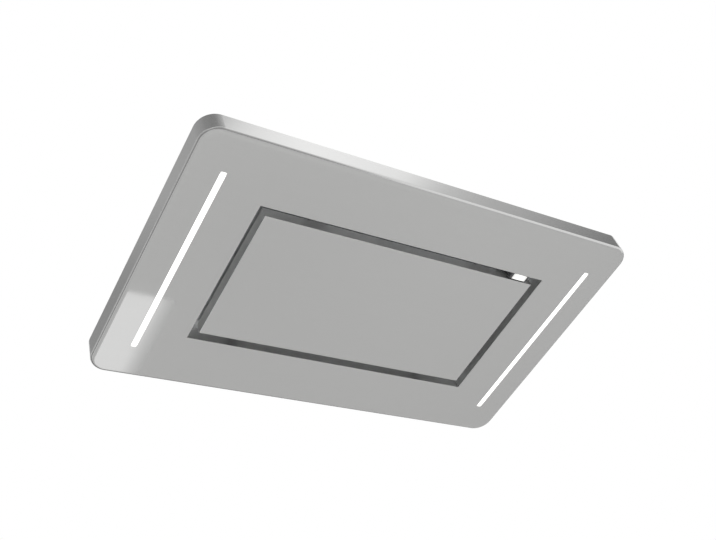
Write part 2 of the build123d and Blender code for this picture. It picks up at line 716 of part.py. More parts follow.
# Hanger brackets: four gusseted angles bolted to the end walls. Their feet lie on the ceiling
# plane and take the rods that hang the hood.
with BuildPart() as hanger_brackets:
    for sign, side in side_signs:
        wall_x = sign * outer_length / 2
        with GridLocations(1, hanger_spacing_y, 1, 2):
            with Locations((wall_x + sign * bracket_sheet / 2, 0, 0)):
                Box(bracket_sheet, bracket_width, bracket_height, align=UP)
            with Locations((wall_x + sign * hanger_foot / 2, 0, 0)):
                Box(hanger_foot, bracket_width, bracket_sheet, align=UP)
        for bracket_y in (-hanger_spacing_y / 2, hanger_spacing_y / 2):
            for edge in (-1, 1):
                gusset_y = bracket_y + edge * (bracket_width / 2 - bracket_sheet / 2)
                with BuildSketch(Plane.XZ.offset(-gusset_y)):
                    with BuildLine():
                        Polyline((wall_x, 0), (wall_x + sign * hanger_foot, 0),
                                 (wall_x + sign * hanger_foot, bracket_sheet),
                                 (wall_x + sign * bracket_sheet, bracket_height),
                                 (wall_x, bracket_height), close=True)
                    make_face()
                extrude(amount=bracket_sheet / 2, both=True)
        with BuildSketch(Plane.YZ.offset(wall_x)):
            with GridLocations(hanger_spacing_y, 1, 2, 1):
                with Locations((0, bolt_z)):
                    with GridLocations(bolt_pitch, 1, 2, 1):
                        Circle(bolt_radius + screw_fit)
        extrude(amount=sign * bracket_sheet, mode=Mode.SUBTRACT)
    with GridLocations(hanger_spacing_x, hanger_spacing_y, 2, 2):
        Cylinder(hanger_hole_radius, 2 * bracket_sheet, mode=Mode.SUBTRACT)
save(hanger_brackets.part, "hanger_brackets")

bracket_bolt = hex_bolt(bolt_radius, bracket_sheet + housing_sheet + 2 * bolt_radius)
with BuildPart() as bracket_bolts:
    for sign, side in side_signs:
        for bracket_y in (-hanger_spacing_y / 2, hanger_spacing_y / 2):
            for step in (-1, 1):
                seat = (sign * (outer_length / 2 + bracket_sheet), bracket_y + step * bolt_pitch / 2, bolt_z)
                with Locations(Location(seat, (0, 90 * sign, 0))):
                    add(bracket_bolt)
save(bracket_bolts.part, "bracket_bolts")

# Housing screws: eight hold the flange to the tray, and eight hold the roof to the shell.
sheet_screw = pan_screw(screw_radius, housing_sheet + tray_sheet + 3 * screw_radius)
with BuildPart() as housing_screws:
    with Locations((0, 0, housing_sheet)):
        with GridLocations(flange_screw_pitch, 2 * flange_screw_y, 4, 2):
            add(sheet_screw)
    with Locations((0, 0, roof_z + roof_sheet)):
        with GridLocations(roof_screw_pitch_x, 2 * roof_screw_y, 4, 2):
            add(sheet_screw)
save(housing_screws.part, "housing_screws")

# =====================================================================================
# Blower
# =====================================================================================

# The blower's section plane: its origin is on the impeller's axis, its first direction is +Y and
# its second is +Z, and it faces +X.
blower_plane = Plane(origin=(0, blower_y, blower_z), x_dir=(0, 1, 0), z_dir=(1, 0, 0))
axis_plane = Plane(origin=(0, blower_y, blower_z), x_dir=(1, 0, 0), z_dir=(0, -1, 0))
impeller_axis = Axis((0, blower_y, blower_z), (1, 0, 0))
outlet_reach = outlet_y - blower_y
side_x = scroll_width / 2
side_out_x = side_x + scroll_sheet


def scroll_section(growth):
    """The casing's outline about the impeller's axis, grown outwards by a sheet and cut square
    at the outlet: three arcs whose radii step up, a straight top and a rounded tongue."""
    tongue = (scroll_radius * cos(radians(tongue_angle)), scroll_radius * sin(radians(tongue_angle)))
    with BuildSketch() as section:
        with BuildLine():
            CenterArc((0, 0), scroll_radius, tongue_angle, -90 - tongue_angle)
            CenterArc((0, scroll_step), scroll_radius + scroll_step, -90, -90)
            CenterArc((scroll_step, scroll_step), scroll_radius + 2 * scroll_step, 180, -90)
            Line((scroll_step, scroll_top), (outlet_reach, scroll_top))
            Line((outlet_reach, scroll_top), (outlet_reach, scroll_top - outlet_drop))
            Line((outlet_reach, scroll_top - outlet_drop), tongue)
        make_face()
        fillet(section.vertices().sort_by_distance(tongue)[0], tongue_radius)
        if growth > 0:
            offset(amount=growth)
            with Locations((outlet_reach, scroll_top - outlet_drop / 2)):
                Rectangle(growth, 2 * outlet_drop, align=(Align.MIN, Align.CENTER), mode=Mode.SUBTRACT)
    return section.sketch


casing_inside = scroll_section(0)
casing_outside = scroll_section(scroll_sheet)

# Scroll wrap: one strip bent round the spiral, open at the outlet.
with BuildPart() as scroll_wrap:
    with BuildSketch(blower_plane.offset(-side_x)):
        add(casing_outside)
        add(casing_inside, mode=Mode.SUBTRACT)
        with Locations((outlet_reach, scroll_top - outlet_drop / 2)):
            Rectangle(2 * scroll_sheet, outlet_drop, mode=Mode.SUBTRACT)
    extrude(amount=scroll_width)
save(scroll_wrap.part, "scroll_wrap")

# Side plates close the spiral, each with a round inlet, and each inlet has a rounded ring.
lip_radius = inlet_lip - inlet_sheet
for sign, side in side_signs:
    with BuildPart() as scroll_side:
        with BuildSketch(blower_plane.offset(sign * side_x)):
            add(casing_outside)
            Circle(inlet_radius + inlet_lip + sheet_fit, mode=Mode.SUBTRACT)
        extrude(amount=sign * scroll_sheet)
    save(scroll_side.part, f"scroll_side_{side}")

    with BuildPart() as inlet_ring:
        with BuildSketch(axis_plane):
            with BuildLine():
                Line((sign * side_out_x, inlet_radius + inlet_lip + inlet_flange),
                     (sign * (side_out_x + inlet_sheet), inlet_radius + inlet_lip + inlet_flange))
                Line((sign * (side_out_x + inlet_sheet), inlet_radius + inlet_lip + inlet_flange),
                     (sign * (side_out_x + inlet_sheet), inlet_radius + inlet_lip))
                ThreePointArc((sign * (side_out_x + inlet_sheet), inlet_radius + inlet_lip),
                              (sign * (side_out_x + inlet_sheet - inlet_lip * (1 - cos(radians(45)))),
                               inlet_radius + inlet_lip * (1 - sin(radians(45)))),
                              (sign * (side_out_x + inlet_sheet - inlet_lip), inlet_radius))
                Line((sign * (side_out_x + inlet_sheet - inlet_lip), inlet_radius),
                     (sign * (side_out_x + inlet_sheet - inlet_lip), inlet_radius + inlet_sheet))
                ThreePointArc((sign * (side_out_x + inlet_sheet - inlet_lip), inlet_radius + inlet_sheet),
                              (sign * (side_out_x - lip_radius * (1 - cos(radians(45)))),
                               inlet_radius + inlet_sheet + lip_radius * (1 - sin(radians(45)))),
                              (sign * side_out_x, inlet_radius + inlet_lip))
                Line((sign * side_out_x, inlet_radius + inlet_lip),
                     (sign * side_out_x, inlet_radius + inlet_lip + inlet_flange))
            make_face()
        revolve(axis=impeller_axis)
    save(inlet_ring.part, f"inlet_ring_{side}")

# Impeller: a middle plate with a hub and two end rings, with a row of forward-curved blades
# tabbed between the plate and each ring.
blade_root = impeller_radius - blade_depth
half_row = (impeller_width - impeller_plate) / 2 - impeller_plate
with BuildPart() as impeller:
    for end_x, growth in ((-impeller_width / 2, impeller_plate), (impeller_width / 2, -impeller_plate)):
        with BuildSketch(blower_plane.offset(end_x)):
            Circle(impeller_radius + blade_sheet)
            Circle(blade_root - blade_sheet, mode=Mode.SUBTRACT)
        extrude(amount=growth)
    with BuildSketch(blower_plane.offset(-impeller_plate / 2)):
        Circle(impeller_radius + blade_sheet)
    extrude(amount=impeller_plate)
    with BuildSketch(blower_plane.offset(-hub_length / 2)):
        Circle(hub_radius)
    extrude(amount=hub_length)
    with BuildSketch(blower_plane.offset(-hub_length)):
        Circle(shaft_radius)
    extrude(amount=2 * hub_length, mode=Mode.SUBTRACT)
save(impeller.part, "impeller")

blade_tip_x = impeller_radius * cos(radians(blade_sweep))
blade_tip_y = -impeller_radius * sin(radians(blade_sweep))
with BuildSketch() as blade_section:
    with BuildLine():
        ThreePointArc((blade_root, 0),
                      (blade_root + 0.55 * blade_depth, 0.16 * blade_depth),
                      (blade_tip_x, blade_tip_y))
    trace(line_width=blade_sheet)
with BuildPart() as impeller_blades:
    for row_x in (-impeller_width / 2 + impeller_plate, impeller_plate / 2):
        with BuildSketch(blower_plane.offset(row_x)):
            with PolarLocations(0, blade_count):
                add(blade_section.sketch)
        extrude(amount=half_row)
save(impeller_blades.part, "impeller_blades")

# Motor: a closed round body inside the impeller's left half, held by a three-armed spider that
# stands on the left side plate. Its shaft turns in the body's bore.
spider_x = -(side_out_x + inlet_sheet + spider_gap)
motor_end_x = spider_x + motor_length
shaft_start_x = spider_x + motor_length / 4
with BuildPart() as motor_body:
    with BuildSketch(blower_plane.offset(spider_x)):
        Circle(motor_radius)
    extrude(amount=motor_length)
    fillet(motor_body.edges().filter_by(GeomType.CIRCLE), motor_corner_radius)
    with BuildSketch(blower_plane.offset(shaft_start_x)):
        Circle(shaft_radius + shaft_fit)
    extrude(amount=motor_length, mode=Mode.SUBTRACT)
save(motor_body.part, "motor_body")

with BuildPart() as motor_shaft:
    with BuildSketch(blower_plane.offset(shaft_start_x + seat_gap)):
        Circle(shaft_radius)
    extrude(amount=hub_length - shaft_start_x - seat_gap)
    chamfer(motor_shaft.edges().filter_by(GeomType.CIRCLE), shaft_radius / 6)
save(motor_shaft.part, "motor_shaft")

leg_inner = inlet_radius + inlet_lip + inlet_flange + sheet_fit
leg_outer = scroll_radius
with BuildPart() as motor_bracket:
    with BuildSketch(blower_plane.offset(spider_x)):
        Circle(spider_disc_radius)
        with PolarLocations(leg_outer / 2, 3, start_angle=90):
            Rectangle(leg_outer, spider_arm_width)
        Circle(cable_radius + grommet_wall, mode=Mode.SUBTRACT)
    extrude(amount=-spider_sheet)
    with BuildSketch(blower_plane.offset(-side_out_x)):
        with PolarLocations((leg_inner + leg_outer) / 2, 3, start_angle=90):
            Rectangle(leg_outer - leg_inner, spider_arm_width)
    extrude(amount=spider_x + side_out_x)
save(motor_bracket.part, "motor_bracket")

# Blower brackets: four angles on the side plates. Each has a tab under a rubber mount, and a
# screw through the roof clamps tab and mount.
tab_z = roof_z - mount_height
bracket_leg_z = blower_z + inlet_radius + inlet_lip + inlet_flange + sheet_fit
with BuildPart() as blower_brackets:
    for mount_x, mount_y in mount_spots:
        sign = 1 if mount_x > 0 else -1
        with Locations((sign * (side_out_x + spider_sheet / 2), mount_y, bracket_leg_z)):
            Box(spider_sheet, 2 * mount_radius, tab_z - bracket_leg_z, align=UP)
        with Locations((mount_x, mount_y, tab_z)):
            Box(mount_tab, 2 * mount_radius, spider_sheet, align=DOWN)
            Cylinder(screw_radius + screw_fit, 3 * spider_sheet, mode=Mode.SUBTRACT)
save(blower_brackets.part, "blower_brackets")

with BuildPart() as rubber_mounts:
    with Locations(*[(x, y, tab_z) for x, y in mount_spots]):
        Cylinder(mount_radius, mount_height, align=UP)
        Cylinder(screw_radius + screw_fit, mount_height, align=UP, mode=Mode.SUBTRACT)
    rims = rubber_mounts.edges().filter_by(GeomType.CIRCLE)
    fillet([rim for rim in rims if rim.radius > mount_radius / 2], mount_height / 5)
save(rubber_mounts.part, "rubber_mounts")

mount_screw = pan_screw(screw_radius, roof_sheet + mount_height + 4 * spider_sheet)
with BuildPart() as blower_screws:
    with Locations(*[(x, y, roof_z + roof_sheet) for x, y in mount_spots]):
        add(mount_screw)
save(blower_screws.part, "blower_screws")

# =====================================================================================
# Outlet
# =====================================================================================

# Discharge duct: a sleeve over the scroll's outlet that turns from a rectangle to a round end
# against the rear wall.
outlet_plane = Plane(origin=(0, outlet_y, outlet_mid_z), x_dir=(1, 0, 0), z_dir=(0, 1, 0))
round_plane = Plane(origin=(0, inner_depth / 2, collar_z), x_dir=(1, 0, 0), z_dir=(0, 1, 0))
outlet_width = scroll_width
sleeve_inner_width = outlet_width + 2 * (scroll_sheet + sheet_fit)
sleeve_inner_drop = outlet_drop + 2 * (scroll_sheet + sheet_fit)
with BuildPart() as discharge_duct:
    with BuildSketch(outlet_plane.offset(-sleeve_length)):
        Rectangle(sleeve_inner_width + 2 * scroll_sheet, sleeve_inner_drop + 2 * scroll_sheet)
    extrude(amount=sleeve_length)
    with BuildSketch(outlet_plane):
        Rectangle(sleeve_inner_width + 2 * scroll_sheet, sleeve_inner_drop + 2 * scroll_sheet)
    with BuildSketch(round_plane):
        Circle(collar_bore_radius + scroll_sheet)
    loft()
    with BuildSketch(outlet_plane):
        Rectangle(outlet_width, outlet_drop)
    with BuildSketch(round_plane):
        Circle(collar_bore_radius)
    loft(mode=Mode.SUBTRACT)
    with BuildSketch(outlet_plane.offset(-sleeve_length)):
        Rectangle(sleeve_inner_width, sleeve_inner_drop)
    extrude(amount=sleeve_length, mode=Mode.SUBTRACT)
save(discharge_duct.part, "discharge_duct")

# Outlet collar: a rolled spigot welded on a square flange, which is screwed to the rear wall.
collar_seat_y = outer_depth / 2
with BuildPart() as collar_plate:
    with BuildSketch(Plane.XZ.offset(-collar_seat_y)):
        with Locations((0, collar_z)):
            RectangleRounded(2 * (collar_radius + collar_margin), 2 * (collar_radius + collar_margin),
                             collar_margin)
            Circle(collar_bore_radius, mode=Mode.SUBTRACT)
            with GridLocations(2 * collar_radius + collar_margin, 2 * collar_radius + collar_margin, 2, 2):
                Circle(screw_radius + screw_fit, mode=Mode.SUBTRACT)
    extrude(amount=-roof_sheet)
with BuildPart() as collar_tube:
    with BuildSketch(Plane.XZ.offset(-collar_seat_y - roof_sheet)):
        with Locations((0, collar_z)):
            Circle(collar_radius)
            Circle(collar_bore_radius, mode=Mode.SUBTRACT)
    extrude(amount=-collar_length)
    with Locations((0, flap_pin_y, collar_z)):
        Cylinder(flap_pin_radius, 3 * collar_radius, mode=Mode.SUBTRACT)
save(Compound(children=[collar_plate.part.solid(), collar_tube.part.solid()]), "outlet_collar")

collar_screw = pan_screw(screw_radius, roof_sheet + housing_sheet + 3 * screw_radius)
with BuildPart() as collar_screws:
    screw_reach = collar_radius + collar_margin / 2
    for x_sign in (-1, 1):
        for z_sign in (-1, 1):
            seat = (x_sign * screw_reach, collar_seat_y + roof_sheet, collar_z + z_sign * screw_reach)
            with Locations(Location(seat, (-90, 0, 0))):
                add(collar_screw)
save(collar_screws.part, "collar_screws")

# Non-return flaps: two half discs with barrels that take turns along one upright pin.
with BuildPart() as flap_pin:
    with Locations((0, flap_pin_y, collar_z)):
        Cylinder(flap_pin_radius, 2 * collar_radius)
save(flap_pin.part, "flap_pin")

flap_radius = collar_bore_radius - flap_edge_gap
barrel_radius = flap_pin_radius + flap_barrel_wall
barrel_length = flap_radius / 5
barrel_steps = {"left": (-2, 1), "right": (-1, 2)}
for sign, side in side_signs:
    with BuildPart() as flap:
        with BuildSketch(Plane.XZ.offset(-flap_pin_y)):
            with Locations((0, collar_z)):
                Circle(flap_radius)
                with Locations((-sign * flap_radius + sign * (barrel_radius + seat_gap), 0)):
                    Rectangle(2 * flap_radius, 2 * flap_radius, mode=Mode.SUBTRACT)
                for step in barrel_steps[side]:
                    with Locations((sign * barrel_radius, step * 1.5 * barrel_length)):
                        Rectangle(2 * barrel_radius, barrel_length)
        extrude(amount=flap_sheet / 2, both=True)
        with Locations(*[(0, flap_pin_y, collar_z + step * 1.5 * barrel_length)
                         for step in barrel_steps[side]]):
            Cylinder(barrel_radius, barrel_length)
            Cylinder(flap_pin_radius + flap_pin_gap, barrel_length, mode=Mode.SUBTRACT)
    save(flap.part, f"flap_{side}")

# =====================================================================================
# Electrics
# =====================================================================================

# Control box: a moulded tray on the left wall with bosses for the board, closed by a cover.
box_x = -outer_length / 2
box_out_x = box_x - box_depth
box_mid_z = box_floor_z + box_height / 2
board_y = (box_length - board_length) / 2 - box_wall - seat_gap
board_x = box_x - box_wall - standoff
gland_x = box_x - box_depth / 2
gland_y = -box_length / 2 + gland_hex
with BuildPart() as control_box:
    with Locations((box_x, 0, box_mid_z)):
        Box(box_depth, box_length, box_height, align=(Align.MAX, Align.CENTER, Align.CENTER))
    fillet(control_box.edges().filter_by(Axis.X), 2 * box_wall)
    with Locations((box_x - box_wall, 0, box_mid_z)):
        Box(box_depth, box_length - 2 * box_wall, box_height - 2 * box_wall,
            align=(Align.MAX, Align.CENTER, Align.CENTER), mode=Mode.SUBTRACT)
    with Locations(Plane.YZ.offset(box_x - box_wall)):
        with Locations((board_y, box_mid_z)):
            with GridLocations(board_length - 5 * box_wall, board_height - 5 * box_wall, 2, 2):
                Cylinder(1.5 * box_wall, standoff, align=DOWN)
    with BuildSketch(Plane.YZ.offset(box_x)):
        with Locations((grommet_y, grommet_z)):
            Circle(cable_radius + grommet_wall)
    extrude(amount=-box_wall, mode=Mode.SUBTRACT)
    with Locations((gland_x, gland_y, box_floor_z + box_height)):
        Cylinder(gland_thread_radius, 2 * box_wall, mode=Mode.SUBTRACT)
save(control_box.part, "control_box")

with BuildPart() as control_box_cover:
    with Locations((box_out_x, 0, box_mid_z)):
        Box(box_wall, box_length, box_height, align=(Align.MAX, Align.CENTER, Align.CENTER))
    fillet(control_box_cover.edges().filter_by(Axis.X), 2 * box_wall)
    fillet(control_box_cover.faces().sort_by(Axis.X)[0].edges(), box_wall / 2)
    with Locations((box_out_x, 0, box_mid_z)):
        Box(2 * box_wall, box_length - 2 * (box_wall + seat_gap), box_height - 2 * (box_wall + seat_gap),
            align=(Align.MIN, Align.CENTER, Align.CENTER))
        Box(2 * box_wall, box_length - 4 * box_wall, box_height - 4 * box_wall,
            align=(Align.MIN, Align.CENTER, Align.CENTER), mode=Mode.SUBTRACT)
save(control_box_cover.part, "control_box_cover")

# Control board with its relays, transformer and smoothing capacitor.
with BuildPart() as control_board:
    with Locations((board_x, board_y, box_mid_z)):
        Box(board_thickness, board_length, board_height, align=(Align.MAX, Align.CENTER, Align.CENTER))
    with Locations((board_x - board_thickness, board_y, box_mid_z)):
        with Locations(*[(0, step * 1.3 * relay_size, board_height / 4) for step in (-2, -1, 0)]):
            Box(relay_size, relay_size, 1.2 * relay_size, align=(Align.MAX, Align.CENTER, Align.CENTER))
        with Locations((0, board_length / 4, 0)):
            Box(1.6 * relay_size, 2.4 * relay_size, 2 * relay_size,
                align=(Align.MAX, Align.CENTER, Align.CENTER))
        with Locations((0, -board_length / 4, -board_height / 4)):
            Box(0.6 * relay_size, 2 * relay_size, relay_size, align=(Align.MAX, Align.CENTER, Align.CENTER))
    with Locations(Plane.YZ.offset(board_x - board_thickness)):
        with Locations((board_y, box_mid_z - board_height / 4)):
            Cylinder(0.5 * relay_size, 1.4 * relay_size, align=DOWN)
save(control_board.part, "control_board")

# Terminal block: five poles beside the board, with a wire hole and a screw well in each pole.
terminal_y = -box_length / 2 + box_wall + seat_gap + terminal_depth / 2
with BuildPart() as terminal_block:
    with Locations((box_x - box_wall, terminal_y, box_mid_z)):
        Box(terminal_depth, terminal_depth, 5 * pole_pitch, align=(Align.MAX, Align.CENTER, Align.CENTER))
    with Locations(Plane.XZ.offset(-terminal_y)):
        with Locations((box_x - box_wall - terminal_depth / 3, box_mid_z)):
            with GridLocations(1, pole_pitch, 1, 5):
                Cylinder(pole_pitch / 4, 2 * terminal_depth, mode=Mode.SUBTRACT)
    with Locations(Plane.YZ.offset(box_x - box_wall - terminal_depth)):
        with Locations((terminal_y, box_mid_z)):
            with GridLocations(1, pole_pitch, 1, 5):
                Cylinder(pole_pitch / 3, terminal_depth, mode=Mode.SUBTRACT)
save(terminal_block.part, "terminal_block")

# Cable gland: a threaded body through the box's upper wall with a domed nut, for the supply cable.
gland_base_z = box_floor_z + box_height
gland_nut_z = gland_base_z + 0.4 * (gland_length - 2 * box_wall)
with BuildPart() as cable_gland:
    with Locations((gland_x, gland_y, gland_base_z - 2 * box_wall)):
        Cylinder(gland_thread_radius - sheet_fit, gland_length - box_wall, align=UP)
    with BuildSketch(Plane.XY.offset(gland_base_z)):
        with Locations((gland_x, gland_y)):
            RegularPolygon(gland_hex / 2, 6, major_radius=False)
    extrude(amount=gland_nut_z - gland_base_z)
    with BuildSketch(Plane.XY.offset(gland_base_z - 2 * box_wall)):
        with Locations((gland_x, gland_y)):
            RegularPolygon(gland_hex / 2, 6, major_radius=False)
    extrude(amount=box_wall)
    with Locations((gland_x, gland_y, gland_nut_z)):
        Cylinder(gland_dome_radius, gland_base_z + gland_length - 2 * box_wall - gland_nut_z, align=UP)
    fillet(cable_gland.edges().filter_by(GeomType.CIRCLE).sort_by(Axis.Z)[-1], gland_dome_fillet)
    with Locations((gland_x, gland_y, gland_base_z)):
        Cylinder(gland_bore_radius, 3 * gland_length, mode=Mode.SUBTRACT)
save(cable_gland.part, "cable_gland")

# Light driver: a moulded case on the right wall.
with BuildPart() as led_driver:
    with Locations((outer_length / 2, 0, driver_floor_z)):
        Box(driver_depth, driver_length, driver_height, align=(Align.MIN, Align.CENTER, Align.MIN))
    fillet(led_driver.edges().filter_by(Axis.X), 3 * box_wall)
    fillet(led_driver.faces().sort_by(Axis.X)[-1].edges(), box_wall / 2)
    with Locations((outer_length / 2, 0, driver_floor_z + driver_height / 2)):
        Box(box_wall, driver_length + 8 * box_wall, driver_height / 2,
            align=(Align.MIN, Align.CENTER, Align.CENTER))
save(led_driver.part, "led_driver")

# Run capacitor: a can with two blade terminals, strapped to the housing's left wall.
capacitor_x = -inner_length / 2 + spider_sheet + capacitor_radius
capacitor_y = -inner_depth / 4
with BuildPart() as capacitor:
    with Locations((capacitor_x, capacitor_y, box_floor_z)):
        Cylinder(capacitor_radius, capacitor_length, align=UP)
    fillet(capacitor.edges().filter_by(GeomType.CIRCLE), capacitor_edge_radius)
    with Locations((capacitor_x, capacitor_y, box_floor_z + capacitor_length)):
        with GridLocations(capacitor_radius, 1, 2, 1):
            Box(blade_terminal_sheet, blade_terminal_width, blade_terminal_length, align=UP)
save(capacitor.part, "capacitor")

# Motor cable: out of the motor's end, up to the roof, along it, and down the left wall to a
# grommet behind the control box. Clips hold it under the roof and on the wall.
cable_roof_z = roof_z - clip_strap - cable_radius - seat_gap
cable_wall_x = -inner_length / 2 + cable_radius + roof_flange
cable_rise_x = spider_x - mount_tab - 4 * cable_radius
cable_bends = [cable_bend, cable_bend, cable_bend, cable_bend, 5 * cable_radius]
cable_points = [(spider_x, blower_y, blower_z), (cable_rise_x, blower_y, blower_z),
                (cable_rise_x, blower_y, cable_roof_z), (cable_wall_x, blower_y, cable_roof_z),
                (cable_wall_x, blower_y, grommet_z), (cable_wall_x, grommet_y, grommet_z),
                (box_x - box_wall, grommet_y, grommet_z)]
with BuildPart() as motor_cable:
    with BuildLine() as cable_route:
        FilletPolyline(*cable_points, radius=cable_bends)
    with BuildSketch(Plane(origin=cable_points[0], z_dir=(-1, 0, 0))):
        Circle(cable_radius)
    sweep()
save(motor_cable.part, "motor_cable")

# Wiring clips: two saddles hold the cable under the roof, one holds it off the wall, and a strap
# holds the capacitor on the wall.
clip_bore = cable_radius + sheet_fit
roof_run = cable_rise_x - cable_wall_x - 2 * cable_bend
clip_x_mid = (cable_rise_x + cable_wall_x) / 2
clip_height = 2.5 * cable_radius
cable_clip_width = 2 * (clip_bore + clip_strap)
with BuildPart() as wiring_clips:
    for clip_x in (clip_x_mid - roof_run / 3, clip_x_mid + roof_run / 3):
        with BuildSketch(Plane.YZ.offset(clip_x)):
            with Locations((blower_y, cable_roof_z)):
                Circle(clip_bore + clip_strap)
                Rectangle(cable_clip_width, roof_z - cable_roof_z, align=(Align.CENTER, Align.MIN))
            with Locations((blower_y, roof_z)):
                Rectangle(8 * cable_radius, clip_strap, align=(Align.CENTER, Align.MAX))
            with Locations((blower_y, cable_roof_z)):
                Circle(clip_bore, mode=Mode.SUBTRACT)
        extrude(amount=clip_height)
    with BuildSketch(Plane.XY.offset(box_floor_z + box_height)):
        with Locations((cable_wall_x, blower_y)):
            Circle(clip_bore + clip_strap)
            Rectangle(cable_wall_x + inner_length / 2, 2 * clip_strap, align=(Align.MAX, Align.CENTER))
        with Locations((-inner_length / 2, blower_y)):
            Rectangle(clip_strap, 8 * cable_radius, align=(Align.MIN, Align.CENTER))
        with Locations((cable_wall_x, blower_y)):
            Circle(clip_bore, mode=Mode.SUBTRACT)
    extrude(amount=-clip_height)
    with BuildPart(mode=Mode.PRIVATE) as capacitor_strap:
        with BuildSketch(Plane.XY.offset(box_floor_z + capacitor_length / 3)):
            with Locations((capacitor_x, capacitor_y)):
                Circle(capacitor_radius + sheet_fit + spider_sheet / 2)
            with Locations((-inner_length / 2, capacitor_y)):
                Rectangle(spider_sheet - sheet_fit, 4 * capacitor_radius, align=(Align.MIN, Align.CENTER))
            with Locations((capacitor_x, capacitor_y)):
                Circle(capacitor_radius + sheet_fit, mode=Mode.SUBTRACT)
        extrude(amount=capacitor_length / 3)
        with Locations((-inner_length / 2, capacitor_y, box_floor_z)):
            Box(2 * spider_sheet, 5 * capacitor_radius, capacitor_length,
                align=(Align.MAX, Align.CENTER, Align.MIN), mode=Mode.SUBTRACT)
    add(capacitor_strap.part)
save(wiring_clips.part, "wiring_clips")

# Grommet: a rubber bush that lines the cable's hole in the wall and the box.
with BuildPart() as wall_grommet:
    with BuildSketch(Plane.YZ.offset(box_x - box_wall)):
        with Locations((grommet_y, grommet_z)):
            Circle(cable_radius + grommet_wall - sheet_fit)
    extrude(amount=box_wall + housing_sheet)
    with BuildSketch(Plane.YZ.offset(-inner_length / 2)):
        with Locations((grommet_y, grommet_z)):
            Circle(cable_radius + 2 * grommet_wall)
    extrude(amount=grommet_wall / 2)
    with BuildSketch(Plane.YZ.offset(box_x - 2 * box_wall)):
        with Locations((grommet_y, grommet_z)):
            Circle(clip_bore)
    extrude(amount=6 * box_wall, mode=Mode.SUBTRACT)
save(wall_grommet.part, "wall_grommet")
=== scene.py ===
import bpy, bmesh, math
from mathutils import Matrix, Vector


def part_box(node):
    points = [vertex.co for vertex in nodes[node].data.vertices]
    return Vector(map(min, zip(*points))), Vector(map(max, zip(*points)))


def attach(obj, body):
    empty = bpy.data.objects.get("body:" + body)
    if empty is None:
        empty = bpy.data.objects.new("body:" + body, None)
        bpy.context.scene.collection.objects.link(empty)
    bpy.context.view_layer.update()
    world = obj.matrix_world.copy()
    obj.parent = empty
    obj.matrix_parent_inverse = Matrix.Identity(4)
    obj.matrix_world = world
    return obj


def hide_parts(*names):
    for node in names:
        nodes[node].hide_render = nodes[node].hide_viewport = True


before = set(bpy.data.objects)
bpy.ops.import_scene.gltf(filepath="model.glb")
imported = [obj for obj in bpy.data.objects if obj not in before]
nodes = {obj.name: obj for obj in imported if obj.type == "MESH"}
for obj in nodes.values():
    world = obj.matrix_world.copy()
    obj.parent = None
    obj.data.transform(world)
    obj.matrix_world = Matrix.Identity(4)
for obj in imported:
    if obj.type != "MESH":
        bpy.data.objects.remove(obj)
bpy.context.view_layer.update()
scene = bpy.context.scene
scene.view_settings.view_transform = "Standard"

# --------------------------------------
# Studio: a pale floor far below the hood, a soft box up at the front and a weak one at the back.
# White surrounds the hood, and the floor fades into it. Cards are seen only in the hood's metal.
floor_z = -2.45
white = (1, 1, 1, 1)
mm = 0.001


def stood(name, data):
    """An object with this data, in the scene."""
    thing = bpy.data.objects.new(name, data)
    scene.collection.objects.link(thing)
    return thing


def meshed(name, build):
    """The mesh of a build, which ends here."""
    mesh = bpy.data.meshes.new(name)
    build.to_mesh(mesh)
    build.free()
    return mesh


def metres(x, y, z, place=Matrix()):
    """A point in metres, from millimetres in place's frame. Shapes are given in millimetres."""
    return place @ Vector((x * mm, y * mm, z * mm))


def add_rings(build, rings, place=Matrix(), capped=False):
    """A skin through rings of equally many points, each closed on itself."""
    rows = [[build.verts.new(metres(*point, place)) for point in ring] for ring in rings]
    for lower, upper in zip(rows, rows[1:]):
        for here in range(len(lower)):
            there = (here + 1) % len(lower)
            build.faces.new([lower[here], lower[there], upper[there], upper[here]])
    if capped:
        build.faces.new(rows[0])
        build.faces.new(rows[-1])


def round_loop(x, y, radius, steps=32):
    """Points round a circle."""
    turns = [math.tau * step / steps for step in range(steps)]
    return [(x + radius * math.cos(turn), y + radius * math.sin(turn)) for turn in turns]


def raised(loop, height):
    """A flat loop's points at a height."""
    return [(x, y, height) for x, y in loop]


def wire(node, wires):
    """Gives a node's inputs plain values, or joins them to the outputs of other nodes."""
    for name, source in wires.items():
        if isinstance(source, bpy.types.NodeSocket):
            node.id_data.links.new(source, node.inputs[name])
        else:
            node.inputs[name].default_value = source
    return node


def wired(tree, kind, wires=None, **settings):
    """A new node of this kind, set up and wired."""
    node = tree.nodes.new("ShaderNode" + kind)
    for name, value in settings.items():
        setattr(node, name, value)
    return wire(node, wires or {})


def own_place(tree):
    """A point's place on the hood itself."""
    return wired(tree, "TexCoord").outputs["Object"]


def seen_by(tree, *rays):
    """1 for these kinds of ray, 0 for others."""
    path, total = wired(tree, "LightPath"), 0
    for ray in rays:
        total = wired(tree, "Math", {0: total, 1: path.outputs["Is " + ray + " Ray"]}, operation="ADD",
                      use_clamp=True).outputs[0]
    return total


def material(name, colour, metallic, roughness):
    """A material, its Principled shader and their tree."""
    made = bpy.data.materials.new(name)
    made.use_nodes = True
    shader = made.node_tree.nodes["Principled BSDF"]
    wire(shader, {"Base Color": (*colour, 1), "Metallic": metallic, "Roughness": roughness})
    return made, shader, made.node_tree


def cleared(owner):
    """The empty node tree of a material or world."""
    owner.use_nodes = True
    owner.node_tree.nodes.clear()
    return owner.node_tree


